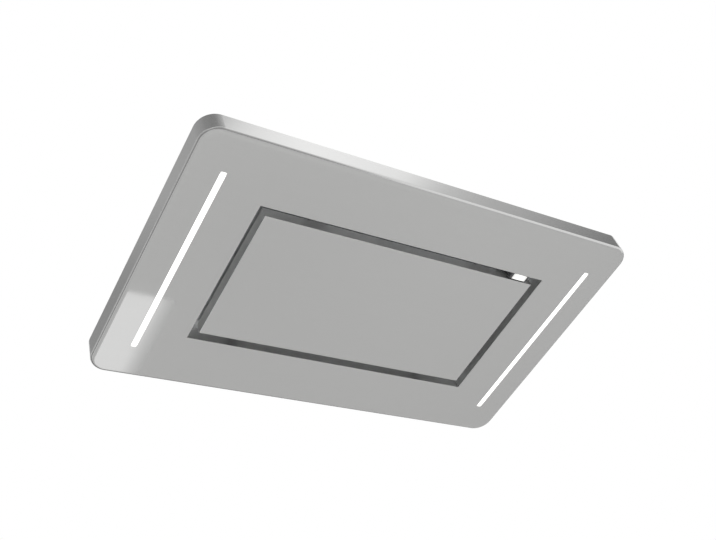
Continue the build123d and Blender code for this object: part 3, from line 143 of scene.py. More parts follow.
floor_build = bmesh.new()
add_rings(floor_build, [raised(round_loop(0, 0, reach / mm, 48), floor_z / mm) for reach in (30, 14, 7, 3)])
floor_build.verts.ensure_lookup_table()
floor_build.faces.new(floor_build.verts[-48:])
studio_floor = stood("studio_floor", meshed("studio_floor", floor_build))
floor_paint, shader, tree = material("floor_paint", (0.755, 0.755, 0.752), 0, 0.75)
outward = wired(tree, "VectorMath", {0: own_place(tree)}, operation="LENGTH").outputs["Value"]
fade = wired(tree, "MapRange", {"Value": outward, "From Min": 4.8, "From Max": 11},
             interpolation_type="SMOOTHSTEP").outputs[0]
faded = wired(tree, "Math", {0: seen_by(tree, "Camera", "Glossy"), 1: fade}, operation="MULTIPLY")
glow = wired(tree, "Emission", {"Color": white})
pick = wired(tree, "MixShader", {0: faded.outputs[0], 1: shader.outputs[0], 2: glow.outputs[0]})
wire(tree.nodes["Material Output"], {"Surface": pick.outputs[0]})
studio_floor.data.materials.append(floor_paint)

scene.world = bpy.data.worlds.new("studio")
tree = cleared(scene.world)
lit, shown = (wired(tree, "Background", {"Color": white, "Strength": level}).outputs[0]
              for level in (0.66, 1))
pick = wired(tree, "MixShader", {0: seen_by(tree, "Camera", "Glossy", "Transmission"), 1: lit, 2: shown})
wired(tree, "OutputWorld", {"Surface": pick.outputs[0]})


def soft_box(name, place, power, size=2.4):
    """A square studio lamp that faces the hood. Metal shows the cards, not the lamp."""
    data = bpy.data.lights.new(name, "AREA")
    data.shape, data.size, data.size_y, data.energy = "RECTANGLE", size, size, power
    lamp = stood(name, data)
    lamp.location = place
    lamp.rotation_mode = "QUATERNION"
    lamp.rotation_quaternion = (-Vector(place)).to_track_quat("-Z", "Y")
    lamp.visible_glossy = lamp.visible_camera = False


soft_box("front_soft_box", (-1.6, -2.6, 3.2), 95)
soft_box("rear_soft_box", (2.6, 2.4, 2.2), 40)


def reflector_card(name, corners, brightness, along="X"):
    """A card that only metal shows. Brightness is a list of (place along it, level)."""
    mesh = bpy.data.meshes.new(name)
    mesh.from_pydata(corners, [], [(0, 1, 2, 3)])
    card = stood(name, mesh)
    for ray in ("camera", "diffuse", "transmission", "volume_scatter", "shadow"):
        setattr(card, "visible_" + ray, False)
    paper = bpy.data.materials.new(name)
    tree = cleared(paper)
    first, last = brightness[0][0], brightness[-1][0]
    split = wired(tree, "SeparateXYZ", {0: own_place(tree)})
    spread = wired(tree, "MapRange", {"Value": split.outputs[along], "From Min": first, "From Max": last})
    ramp = wired(tree, "ValToRGB", {0: spread.outputs[0]})
    stops = ramp.color_ramp.elements
    for index, (where, level) in enumerate(brightness):
        share = (where - first) / (last - first)
        stop = stops[index] if index < 2 else stops.new(share)
        stop.position, stop.color = share, (level, level, level, 1)
    glow = wired(tree, "Emission", {"Color": ramp.outputs[0]})
    wired(tree, "OutputMaterial", {"Surface": glow.outputs[0]})
    mesh.materials.append(paper)


def level_corners(left, right, front, rear, height):
    """The corners of a level card."""
    return [(left, front, height), (right, front, height), (right, rear, height), (left, rear, height)]


def upright_corners(first, last, low, high):
    """The corners of an upright card between two places on the floor plan."""
    return [(*first, low), (*last, low), (*last, high), (*first, high)]


reflector_card("card_over_front", level_corners(-3.8, 5.6, -3.4, -0.8, 3.2), [
    (-3.8, 0.44), (-3, 0.36), (-1.5, 0.3), (-0.7, 0.32), (-0.1, 0.42), (0.5, 0.56), (0.87, 0.68),
    (0.91, 0.86), (0.96, 1.04), (1.15, 1.16), (1.43, 1.26), (2.1, 1.14), (2.42, 0.74), (2.75, 0.59),
    (3.1, 0.53), (3.4, 0.42), (3.75, 0.33), (3.95, 0.26), (5.6, 0.24)])
reflector_card("card_over_left", level_corners(-3.8, -0.6, -0.8, 5.4, 3.2), [
    (-0.8, 0.38), (1.5, 0.45), (2, 0.49), (2.5, 0.4), (2.8, 0.34), (3.4, 0.37), (5.4, 0.42)], "Y")
reflector_card("card_below_left", level_corners(-0.48, -0.355, 0.16, 0.42, -0.138), [
    (-0.48, 1.03), (-0.392, 1.03), (-0.372, 0.8), (-0.355, 0.66)])
for side, first, last, along, low_levels, high_levels in (
        ("left", (-8, -8), (-8, 9), "Y", [(-8, 0.34), (9, 0.3)], [(-8, 0.55), (0, 0.4), (9, 0.62)]),
        ("rear", (-8, 9), (12, 9), "X", [(-8, 0.2), (12, 0.22)], [(-8, 0.62), (2, 0.36), (12, 0.58)]),
        ("right", (12, 9), (12, -2), "Y", [(-2, 0.3), (9, 0.22)], [(-2, 0.62), (4, 0.4), (9, 0.58)]),
        ("front", (-8, -8), (4.2, -8), "X", [(-8, 0.34), (4.2, 0.4)], [(-8, 0.55), (0, 0.4), (4.2, 0.66)])):
    reflector_card("card_at_" + side, upright_corners(first, last, floor_z, 0.7), low_levels, along)
    reflector_card("card_high_" + side, upright_corners(first, last, 0.7, 5.5), high_levels, along)
reflector_card("card_top_rear", upright_corners((1, 9), (12, 9), 5.5, 10),
               [(1, 0.55), (4, 0.24), (12, 0.2)])
reflector_card("card_top_right", upright_corners((12, 9), (12, 3), 5.5, 10),
               [(3, 0.5), (6, 0.24), (9, 0.2)], "Y")

camera_lens = bpy.data.cameras.new("camera")
camera_lens.sensor_width, camera_lens.lens = 36, 49.536
camera_lens.clip_start, camera_lens.clip_end = 0.05, 100
scene.camera = stood("camera", camera_lens)
sight = Vector((0.4986, 0.50165, 0.70693)).normalized()
across = Vector((0.84249, -0.47236, -0.25901))
across = (across - across.dot(sight) * sight).normalized()
scene.camera.matrix_world = Matrix.Translation((-1.0506, -1.0603, -1.4221)) @ Matrix(
    (across, across.cross(sight).normalized(), -sight)).transposed().to_4x4()

# --------------------------------------
# Fascia: satin-brushed stainless sheet, 1.2 mm thick, with a rolled lower edge and an upright rim.
# Its seams are welded and ground flush. The suction opening and the light slots are cut in its face.
slab_half_x, slab_half_y, slab_corner, slab_bottom = 500, 300, 38, -48
fascia_sheet, fascia_roll, cut_corner, turned_edge = 1.2, 9, 1.2, 1
opening_half_x, opening_half_y = 338, 171.5
light_x, light_half_width, light_half_length = 431, 6.25, 220


def effect(name, inputs, outputs):
    """An empty shader node group with inputs (name, kind, value) and outputs (name, kind)."""
    group = bpy.data.node_groups.new(name, "ShaderNodeTree")
    for way, sockets in (("INPUT", inputs), ("OUTPUT", outputs)):
        for title, kind, *value in sockets:
            socket = group.interface.new_socket(name=title, in_out=way, socket_type="NodeSocket" + kind)
            if value:
                socket.default_value = value[0]
    return group, group.nodes.new("NodeGroupInput").outputs, group.nodes.new("NodeGroupOutput")


def noise(vector, scale, detail, roughness=0.5):
    """Noise over a vector."""
    return wired(vector.id_data, "TexNoise", {"Vector": vector, "Scale": scale, "Detail": detail,
                                              "Roughness": roughness}).outputs["Fac"]


def between(amount, low, high, start=0, stop=1):
    """Runs from low to high as amount runs from start to stop."""
    return wired(amount.id_data, "MapRange", {"Value": amount, "From Min": start, "From Max": stop,
                                              "To Min": low, "To Max": high}).outputs[0]


def mixed(amount, first, second):
    """A colour that runs from first to second with amount."""
    return wired(amount.id_data, "Mix", {0: amount, 6: (*first, 1), 7: (*second, 1)},
                 data_type="RGBA").outputs[2]


def bump(height, strength, distance):
    """The normal of a surface with this height."""
    return wired(height.id_data, "Bump", {"Height": height, "Strength": strength,
                                          "Distance": distance}).outputs[0]


# Brushed grain: fine streaks along the belt's run, and broad soft clouds where the belt pressed
# unevenly. Stretch is how many streaks there are to the metre each way.
brushed_grain, given, leave = effect("brushed_grain", [("Stretch", "Vector", (8, 900, 900))],
                                     [("Streaks", "Float"), ("Clouds", "Float")])
place = own_place(brushed_grain)
stretched = wired(brushed_grain, "VectorMath", {0: place, 1: given["Stretch"]}, operation="MULTIPLY")
wire(leave, {"Streaks": noise(stretched.outputs[0], 1, 3, 0.6), "Clouds": noise(place, 7, 3)})


def brushed_metal(name, colour, roughness, stretch, contrast=0.03, depth=0.00002):
    """A brushed or drawn metal finish: grained colour, roughness and a very fine bump."""
    made, shader, tree = material(name, colour, 1, roughness)
    grain = wired(tree, "Group", {"Stretch": stretch}, node_tree=brushed_grain).outputs
    darker = [tone * (1 - contrast) for tone in colour]
    lighter = [min(1, tone * (1 + contrast)) for tone in colour]
    wire(shader, {"Base Color": mixed(between(grain["Streaks"], 0, 1, 0.3, 0.7), darker, lighter),
                  "Roughness": between(grain["Clouds"], roughness * 0.88, roughness * 1.12, 0.3, 0.7),
                  "Normal": bump(grain["Streaks"], 0.15, depth)})
    return made


def rounded_loop(half_x, half_y, radius, steps=12, centre=(0, 0)):
    """Points round a rectangle with rounded corners, anticlockwise from above."""
    points = []
    for quarter, (sign_x, sign_y) in enumerate(((1, 1), (-1, 1), (-1, -1), (1, -1))):
        for step in range(steps + 1):
            angle = math.pi / 2 * (quarter + step / steps)
            points.append((centre[0] + (half_x - radius) * sign_x + radius * math.cos(angle),
                           centre[1] + (half_y - radius) * sign_y + radius * math.sin(angle)))
    return points


def add_edges(build, loops, heights, place=Matrix()):
    """A straight edge along each loop, through these heights."""
    for loop in loops:
        add_rings(build, [raised(loop, height) for height in heights], place)


def add_sheet(build, loops, thickness=0, place=Matrix()):
    """A flat sheet, from place's own plane up. The first loop is its outline, the others its holes."""
    curve = bpy.data.curves.new("outline", "CURVE")
    curve.dimensions, curve.fill_mode = "2D", "BOTH"
    for loop in loops:
        spline = curve.splines.new("POLY")
        spline.points.add(len(loop) - 1)
        for point, (x, y) in zip(spline.points, loop):
            point.co = (x / 100, y / 100, 0, 1)
        spline.use_cyclic_u = True
    outline = bpy.data.objects.new("outline", curve)
    flat = bpy.data.meshes.new_from_object(outline)
    bpy.data.objects.remove(outline)
    bpy.data.curves.remove(curve)
    spots = [vertex.co / 10 for vertex in flat.vertices]
    lower = [build.verts.new(place @ spot) for spot in spots]
    upper = lower
    if thickness:
        upper = [build.verts.new(place @ (spot + metres(0, 0, thickness))) for spot in spots]
    borders = {}
    for face in flat.polygons:
        corners = list(face.vertices)
        if face.normal.z < 0:
            corners.reverse()
        build.faces.new([upper[corner] for corner in corners])
        if thickness:
            build.faces.new([lower[corner] for corner in reversed(corners)])
            borders.update(dict.fromkeys(zip(corners, corners[1:] + corners[:1])))
    for here, there in borders:
        if (there, here) not in borders:
            build.faces.new([lower[here], lower[there], upper[there], upper[here]])
    bpy.data.meshes.remove(flat)


def at(x, y, z):
    """A frame with its origin here."""
    return Matrix.Translation(metres(x, y, z))


def piece(name, build, finish, sharp=32, stands_for=None, body="hood"):
    """The build becomes a piece that rides on its body."""
    bmesh.ops.remove_doubles(build, verts=build.verts, dist=0.004 * mm)
    bmesh.ops.recalc_face_normals(build, faces=build.faces)
    mesh = meshed(name, build)
    mesh.polygons.foreach_set("use_smooth", [True] * len(mesh.polygons))
    mesh.set_sharp_from_angle(angle=math.radians(sharp))
    for part in finish if isinstance(finish, list) else [finish]:
        mesh.materials.append(part)
    made = stood(name, mesh)
    shading = made.modifiers.new("flat_faces_stay_flat", "WEIGHTED_NORMAL")
    shading.keep_sharp = True
    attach(made, body)
    if stands_for:
        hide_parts(stands_for)


def slab_outline(inward):
    """The slab's outline, this far in."""
    return rounded_loop(slab_half_x - inward, slab_half_y - inward, slab_corner - inward, 24)


def opening_outline(outward):
    """The suction opening's outline, this far out."""
    return rounded_loop(opening_half_x + outward, opening_half_y + outward, cut_corner, 3)


satin_steel = brushed_metal("satin_steel", (0.64, 0.64, 0.635), 0.15, (5, 620, 620), 0.012, 0.00001)
fascia = bmesh.new()
rim, inner_roll = -slab_bottom, fascia_roll - fascia_sheet
outside = [(fascia_roll * (1 - math.sin(turn)), fascia_roll * (1 - math.cos(turn)))
           for turn in (math.pi / 2 * step / 14 for step in range(15))] + [
               (0, rim - 0.4), (0.2, rim), (1, rim)]
inside = [(fascia_sheet, rim - 0.3)] + [
    (fascia_sheet + inner_roll * (1 - math.cos(math.pi / 2 * step / 6)),
     fascia_roll - inner_roll * math.sin(math.pi / 2 * step / 6)) for step in range(7)]
add_rings(fascia, [raised(slab_outline(inward), slab_bottom + rise) for inward, rise in outside + inside])
slots = [rounded_loop(light_half_width, light_half_length, 1.5, 3, (side * light_x, 0)) for side in (-1, 1)]
face_loops = [slab_outline(fascia_roll), opening_outline(turned_edge), *slots]
for height in (slab_bottom, slab_bottom + fascia_sheet):
    add_sheet(fascia, face_loops, 0, at(0, 0, height))
add_edges(fascia, slots, (slab_bottom, slab_bottom + fascia_sheet))
add_rings(fascia, [raised(opening_outline(turned_edge * share), slab_bottom + rise) for share, rise in (
    (1, 0), (0.62, 0.08), (0.29, 0.29), (0.08, 0.62), (0, 1), (0, fascia_sheet), (1, fascia_sheet))])
piece("fascia_skin", fascia, satin_steel, stands_for="fascia_frame")


def dress(finish, *names):
    """CAD nodes that keep their mesh take this finish."""
    for name in names:
        nodes[name].data.materials.clear()
        nodes[name].data.materials.append(finish)


dress(brushed_metal("collar_steel", (0.66, 0.66, 0.655), 0.48, (40, 40, 900)), "opening_collar")

# --------------------------------------
# Back tray: galvanised plates that close the slab against the ceiling, with a folded skirt inside
# the rim. Shallow beads are pressed down into the plates to stiffen them.
tray_half_x, tray_half_y, tray_corner, tray_sheet, tray_skirt = 498.6, 298.6, 36.6, 1, 14
window_inner, window_outer, window_low, window_high = 338.6, 410, 115, 170.9
flange_screws_x, flange_screws_y, clearance_hole = (-263.25, -87.75, 87.75, 263.25), 195.5, 2.2

# Zinc spangle: crystals a few millimetres across, each of its own tint and gloss, with soft stains.
zinc_spangle, given, leave = effect("zinc_spangle", [("Crystals", "Float", 120)],
                                    [("Tint", "Float"), ("Gloss", "Float"), ("Stain", "Float")])
place = own_place(zinc_spangle)
wander = wired(zinc_spangle, "TexNoise", {"Vector": place, "Scale": 60}).outputs["Color"]
bent = wired(zinc_spangle, "VectorMath", {0: wander, 1: (0.006, 0.006, 0.006), 2: place},
             operation="MULTIPLY_ADD")
crystals = wired(zinc_spangle, "TexVoronoi", {"Vector": bent.outputs[0], "Scale": given["Crystals"]})
apart = wired(zinc_spangle, "SeparateColor", {0: crystals.outputs["Color"]}).outputs
wire(leave, {"Tint": apart[0], "Gloss": apart[1], "Stain": noise(place, 9, 5, 0.6)})


def zinc_sheet(name, dark, light, roughness, crystals):
    """Hot-dip galvanised sheet. The stain dulls it here and there."""
    made, shader, tree = material(name, light, 1, roughness)
    spangle = wired(tree, "Group", {"Crystals": crystals}, node_tree=zinc_spangle).outputs
    stain = mixed(between(spangle["Stain"], 0, 1, 0.38, 0.62), (0.86, 0.87, 0.88), (1, 1, 1))
    tint = wired(tree, "Mix", {0: 0.55, 6: mixed(spangle["Tint"], dark, light), 7: stain}, data_type="RGBA",
                 blend_type="MULTIPLY")
    wire(shader, {"Base Color": tint.outputs[2], "Normal": bump(spangle["Tint"], 0.12, 0.00003),
                  "Roughness": between(spangle["Gloss"], roughness * 0.75, roughness * 1.25)})
    return made


galvanised = zinc_sheet("galvanised_sheet", (0.5, 0.515, 0.525), (0.64, 0.655, 0.665), 0.34, 130)


def add_bead(build, place, length, width, depth, slope=2.5):
    """A long pressed bead about place's origin, depth deep below its plane, with sloping sides."""
    loops = [rounded_loop(length / 2 - inset, width / 2 - inset, width / 2 - inset - 0.01, 6)
             for inset in (0, slope * 0.35, slope * 0.8, slope)]
    drops = (0, -depth * 0.22, -depth * 0.9, -depth)
    add_rings(build, [raised(loop, drop) for loop, drop in zip(loops, drops)], place)
    add_sheet(build, [loops[-1]], 0, place @ at(0, 0, -depth))
    return loops[0]


def add_beads(build, place, beads, width, depth, slope, face=Matrix()):
    """Beads at (x, y, length, turn) on place's plane. Gives their outlines, for the sheet round them."""
    outlines = []
    for x, y, length, turn in beads:
        spot = at(x, y, 0) @ Matrix.Rotation(turn, 4, "Z")
        outline = add_bead(build, place @ spot @ face, length, width, depth, slope)
        cosine, sine = math.cos(turn), math.sin(turn)
        outlines.append([(x + along * cosine - beside * sine, y + along * sine + beside * cosine)
                         for along, beside in outline])
    return outlines


def box_loop(left, right, low, high):
    """The four corners of a rectangle."""
    return [(left, low), (right, low), (right, high), (left, high)]


def tray_outline(inward):
    """The tray's outline, this far in."""
    return rounded_loop(tray_half_x - inward, tray_half_y - inward, tray_corner - inward, 10)


tray = bmesh.new()
beads = []
for side in (-1, 1):
    beads += [(middle, side * 250, 240, 0) for middle in (-300, 0, 300)] + [(side * 455, 0, 200, math.pi / 2)]
tray_opening = box_loop(-opening_half_x, opening_half_x, -opening_half_y, opening_half_y)
windows = [box_loop(*sorted((side_x * window_inner, side_x * window_outer)),
                    *sorted((side_y * window_low, side_y * window_high)))
           for side_x in (-1, 1) for side_y in (-1, 1)]
screw_holes = [round_loop(x, y, clearance_hole, 12) for y in (-flange_screws_y, flange_screws_y)
               for x in flange_screws_x]
outlines = add_beads(tray, Matrix(), beads, 16, 2.8, 4)
add_sheet(tray, [tray_outline(0), tray_opening, *outlines, *windows, *screw_holes])
add_sheet(tray, [tray_outline(0), tray_opening, *windows], 0, at(0, 0, -tray_sheet))
add_rings(tray, [raised(tray_outline(inward), -drop) for inward, drop in (
    (0, 0), (0, tray_skirt), (tray_sheet, tray_skirt), (tray_sheet, tray_sheet))])
add_edges(tray, [tray_opening, *windows], (0, -tray_sheet))
piece("tray_plates", tray, galvanised, stands_for="back_tray")

# --------------------------------------
# Light strips: an anodised aluminium channel with a lit opal cover in the fascia's slot. A board
# of small white lamps stands in it, moulded caps close its ends and spring clips hold it down.
sides = ((-1, "left"), (1, "right"))
cover_edge = -46.8
cover_section = [(-6.4, cover_edge), (-6.2, cover_edge), (-6, -47.45), (-5.2, -47.75),
                 (-3, -47.93), (0, -48), (3, -47.93), (5.2, -47.75), (6, -47.45),
                 (6.2, cover_edge), (6.4, cover_edge), (6.4, -44.8), (-6.4, -44.8)]
dress(brushed_metal("anodised_channel", (0.74, 0.74, 0.745), 0.28, (900, 6, 900)), "led_channel_left",
      "led_channel_right")
spring_steel = brushed_metal("spring_steel", (0.48, 0.49, 0.5), 0.26, (400, 60, 60), 0.05)
dress(spring_steel, "led_clips")

# Moulded grain: the eroded texture of a mould, and the slow change of gloss across a moulding.
moulded_grain, given, leave = effect("moulded_grain", [("Fineness", "Float", 1400)],
                                     [("Height", "Float"), ("Gloss", "Float")])
place = own_place(moulded_grain)
wire(leave, {"Height": noise(place, given["Fineness"], 2), "Gloss": noise(place, 28, 3)})


def moulded(name, colour, roughness, fineness, depth=0.00005, strength=0.3):
    """A moulded plastic or rubber finish."""
    made, shader, tree = material(name, colour, 0, roughness)
    grain = wired(tree, "Group", {"Fineness": fineness}, node_tree=moulded_grain).outputs
    darker, lighter = [tone * 0.93 for tone in colour], [min(1, tone * 1.06) for tone in colour]
    wire(shader, {"Base Color": mixed(grain["Height"], darker, lighter),
                  "Roughness": between(grain["Gloss"], roughness * 0.85, roughness * 1.15, 0.3, 0.7),
                  "Normal": bump(grain["Height"], strength, depth)})
    return made


grey_moulding = moulded("grey_moulding", (0.095, 0.096, 0.1), 0.42, 1500)
dress(grey_moulding, "led_end_caps")

# Circuit board: green lacquer over copper tracks, which show as a slightly lighter, raised pattern.
circuit_lacquer, shader, tree = material("circuit_lacquer", (0.03, 0.19, 0.08), 0, 0.3)
tracks = wired(tree, "TexBrick", {"Vector": own_place(tree), "Scale": 260,
                                  "Mortar Size": 0.06}).outputs["Fac"]
wire(shader, {"Base Color": mixed(tracks, (0.03, 0.19, 0.08), (0.07, 0.29, 0.13)),
              "Roughness": between(tracks, 0.34, 0.22), "Normal": bump(tracks, 0.3, 0.00005)})
dress(circuit_lacquer, "led_boards")


def opal(name, strength):
    """An opal moulding that glows, as a lit cover or as a painted glint. Its emission colour is still to be
    wired.
    """
    made, shader, tree = material(name, (0.93, 0.93, 0.91), 0, 0.35)
    place = own_place(tree)
    speckle = noise(place, 300, 2)
    wire(shader, {"Base Color": mixed(speckle, (0.9, 0.9, 0.88), (0.94, 0.94, 0.92)),
                  "Roughness": between(speckle, 0.3, 0.4), "Emission Strength": strength})
    return made, shader, place


def away(coordinate, middle):
    """How far a coordinate is from middle."""
    shift = wired(coordinate.id_data, "Math", {0: coordinate, 1: middle}, operation="SUBTRACT").outputs[0]
    return wired(coordinate.id_data, "Math", {0: shift}, operation="ABSOLUTE").outputs[0]


def glow_of(amount):
    """The light of an opal moulding, from none to full."""
    return mixed(amount, (0, 0, 0), (1, 1, 0.985))


opal_cover, shader, place = opal("opal_cover", 1.7)
tree = place.id_data
folded = wired(tree, "VectorMath", {0: place}, operation="ABSOLUTE").outputs[0]
apart = wired(tree, "SeparateXYZ", {0: folded}).outputs
lit = wired(tree, "Math", {0: between(away(apart["X"], light_x * mm), 1, 0.22, 0.0036, 0.0064),
                           1: between(apart["Y"], 1, 0.25, 0.213, 0.22)}, operation="MULTIPLY")
wire(shader, {"Emission Color": glow_of(lit.outputs[0])})
for side, label in sides:
    cover = bmesh.new()
    add_rings(cover, [
        [(side * light_x + x * narrow, along, z if z > cover_edge else cover_edge + (z - cover_edge) * narrow)
         for x, z in cover_section]
        for along, narrow in (
            (-219.8, 0.86), (-219.4, 0.94), (-218.5, 0.985), (-216.5, 1), (0, 1), (216.5, 1),
            (218.5, 0.985), (219.4, 0.94), (219.8, 0.86))], capped=True)
    piece("opal_cover_" + label, cover, opal_cover, 40, "led_diffuser_" + label)

# --------------------------------------
# Filter carrier: a folded galvanised tray across the opening, with two windows and a ledge round
# each. Pan-head screws hold it to the collar.
# The carrier's zinc is rougher, and painted lighter than the other galvanised sheet: painted light that lifts
# its underside in the shade above the gap.
carrier_zinc_painted_light = zinc_sheet("carrier_zinc_painted_light", (0.76, 0.77, 0.775), (0.8, 0.81, 0.815), 0.62, 160)
dress(carrier_zinc_painted_light, "filter_carrier")
bright_zinc = brushed_metal("bright_zinc", (0.66, 0.66, 0.645), 0.24, (300, 300, 300), 0.05)


def add_turning(build, profile, place=Matrix(), steps=28):
    """A turned form: profile is (radius, height) pairs along place's Z, closed where a radius is 0."""
    rows = [[build.verts.new(metres(x, y, height, place))
             for x, y in (round_loop(0, 0, radius, steps) if radius else [(0, 0)])]
            for radius, height in profile]
    for lower, upper in zip(rows, rows[1:]):
        for here in range(steps):
            there = (here + 1) % steps
            corners = [lower[here % len(lower)], lower[there % len(lower)], upper[there % len(upper)],
                       upper[here % len(upper)]]
            build.faces.new(list(dict.fromkeys(corners)))


def facing(place, outward):
    """A frame at place whose Z points outward."""
    return at(*place) @ Vector(outward).to_track_quat("Z", "Y").to_matrix().to_4x4()


def pan_head_form():
    """The mesh of a pan head of radius 1 and height 0.65 on z 0, with a cross recess."""
    head, cross, arm, half = bmesh.new(), bmesh.new(), 0.52, 0.1
    add_turning(head, [(0, 0), (1, 0), (1, 0.3), (0.95, 0.46), (0.84, 0.56), (0.66, 0.62), (0.35, 0.65),
                       (0, 0.65)])
    loop = [(half, half), (half, arm), (-half, arm), (-half, half), (-arm, half), (-arm, -half),
            (-half, -half), (-half, -arm), (half, -arm), (half, -half), (arm, -half), (arm, half)]
    point = [(x * 0.45, y * 0.45 if abs(y) > half else y) for x, y in loop]
    add_rings(cross, [raised(loop, 0.9), raised(point, 0.18)], capped=True)
    for build in (head, cross):
        bmesh.ops.recalc_face_normals(build, faces=build.faces)
    blank, cutter = stood("pan_head", meshed("pan_head", head)), stood("cross", meshed("cross", cross))
    cut = blank.modifiers.new("recess", "BOOLEAN")
    cut.operation, cut.object, cut.solver = "DIFFERENCE", cutter, "EXACT"
    bpy.context.view_layer.update()
    made = bpy.data.meshes.new_from_object(blank.evaluated_get(bpy.context.evaluated_depsgraph_get()))
    for thing in (blank, cutter):
        bpy.data.objects.remove(thing)
    return made


pan_head = pan_head_form()


def add_screws(build, places, outward, radius, length, turn=0.3):
    """Pan-head screws with their seats at places and their threads the other way."""
    turns = max(3, int(length / (0.9 * radius)))
    thread = []
    for step in range(turns):
        low = -length * step / turns
        thread += [(radius * 0.84, low), (radius, low - 0.5 * length / turns)]
    for index, place in enumerate(places):
        seat = facing(place, outward)
        start = len(build.verts)
        build.from_mesh(pan_head)
        build.verts.ensure_lookup_table()
        head = seat @ Matrix.Rotation(turn + 1.7 * index, 4, "Z") @ Matrix.Scale(2 * radius, 4)
        for vertex in build.verts[start:]:
            vertex.co = head @ vertex.co
        add_turning(build, [*thread, (radius * 0.7, -length), (0, -length)], seat, 14)


def fasteners(name, build, stands_for=None, sharp=32):
    """A piece of zinc-plated screws, bolts or rivets."""
    piece(name, build, bright_zinc, sharp, stands_for)


carrier_wall_y, carrier_screws_x, carrier_screws_z = 172.7, (-225.33, 0, 225.33), -10.8
carrier_heads = bmesh.new()
for side in (-1, 1):
    add_screws(carrier_heads, [(x, side * carrier_wall_y, carrier_screws_z) for x in carrier_screws_x],
               (0, side, 0), 2, 5)
fasteners("carrier_screw_heads", carrier_heads, "carrier_screws")

# --------------------------------------
# Grease filters: pads of expanded aluminium mesh in a folded frame. Each pad has two coarse outer
# nets and two finer ones crossed between them, and the frame's corners are riveted.
filter_aluminium = brushed_metal("filter_aluminium", (0.74, 0.75, 0.76), 0.3, (60, 60, 60), 0.04)
net_aluminium = brushed_metal("net_aluminium", (0.66, 0.67, 0.68), 0.34, (700, 700, 700), 0.12)
dress(filter_aluminium, "filter_frame_left", "filter_frame_right")


def add_net(build, low, high, level, pitch, strand, thick, crossed):
    """One expanded net: rows of zigzag strands that meet at their corners."""
    (left, front), (right, rear) = low, high
    if crossed:
        (left, front), (right, rear) = (front, left), (rear, right)
    columns, rows = round((right - left) / (pitch / 2)), round((rear - front) / (pitch / 2))
    step_x, step_y = (right - left) / columns, (rear - front) / rows
    for row in range(rows):
        strands = []
        for column in range(columns + 1):
            way = 1 if (column + row) % 2 else -1
            tilted = level + way * thick * 0.35
            x, y = left + column * step_x, front + (row + 0.5) * step_y + way * (step_y / 2 - strand * 0.28)
            strands.append([(across, along, z) if crossed else (along, across, z) for along, across, z in (
                (x, y - strand / 2, tilted), (x, y, tilted + thick / 2), (x, y + strand / 2, tilted),
                (x, y, tilted - thick / 2))])
        add_rings(build, strands, capped=True)


filter_x, net_half_x, rivet_half_x = 164, 145.4, 141
for side, label in sides:
    middle = side * filter_x
    net = bmesh.new()
    for level, pitch, strand, thick, crossed in (
            (-13.9, 12.5, 1.7, 0.6, False), (-12.1, 9, 1.2, 0.5, True),
            (-10.2, 7.5, 1.1, 0.5, False), (-8.3, 12.5, 1.7, 0.6, True)):
        add_net(net, (middle - net_half_x, -123.2), (middle + net_half_x, 133.2), level, pitch, strand,
                thick, crossed)
    piece("filter_nets_" + label, net, net_aluminium, 50, "filter_mesh_" + label)
    rivets = bmesh.new()
    for x in (middle - rivet_half_x, middle + rivet_half_x):
        for y in (-139, 138):
            add_turning(rivets, [(0, 0), (2.2, 0), (2, 0.5), (1.3, 0.9), (0, 1.1)],
                        facing((x, y, -16), (0, 0, -1)), 16)
    piece("filter_rivets_" + label, rivets, filter_aluminium)

# --------------------------------------
# Filter latches: moulded slides with a finger pull. Each has a row of low ribs on its pull, and a
# push back against its spring frees the filter.


def add_block(build, low, high, ease, steps=1):
    """A block between two corners, with rounded edges."""
    (left, front, bottom), (right, rear, top) = low, high
    points = [build.verts.new(metres(x, y, z)) for z in (bottom, top)
              for x, y in box_loop(left, right, front, rear)]
    faces = [build.faces.new([points[corner] for corner in face]) for face in (
        (3, 2, 1, 0), (4, 5, 6, 7), (0, 1, 5, 4), (1, 2, 6, 5), (2, 3, 7, 6), (3, 0, 4, 7))]
    edges = list(dict.fromkeys(edge for face in faces for edge in face.edges))
    bmesh.ops.bevel(build, geom=edges, offset=ease * mm, segments=steps, profile=0.5, affect="EDGES",
                    clamp_overlap=True)


dress(grey_moulding, "filter_latch_left", "filter_latch_right")
for side, label in sides:
    ribs = bmesh.new()
    low, high = (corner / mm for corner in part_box("filter_latch_" + label))
    middle = (low.x + high.x) / 2
    for step in range(4):
        y = low.y + 4 + 2.2 * step
        add_block(ribs, (middle - 8.5, y, low.z - 0.2), (middle + 8.5, y + 0.9, low.z + 1), 0.3)
    piece("latch_ribs_" + label, ribs, grey_moulding, body="latch_" + label)

# --------------------------------------
# Suction panel: the same satin sheet, folded up on four sides with an inward lip. It covers the
# filters, leaves an 18 mm gap all round, and swings down on two pin hinges at its rear edge. The
# folds keep a dull, rougher mill finish, its colour painted lighter than the face's steel as painted
# light that lifts them in the gap's shade.
dress(satin_steel, "suction_panel")
folds = nodes["suction_panel"].data
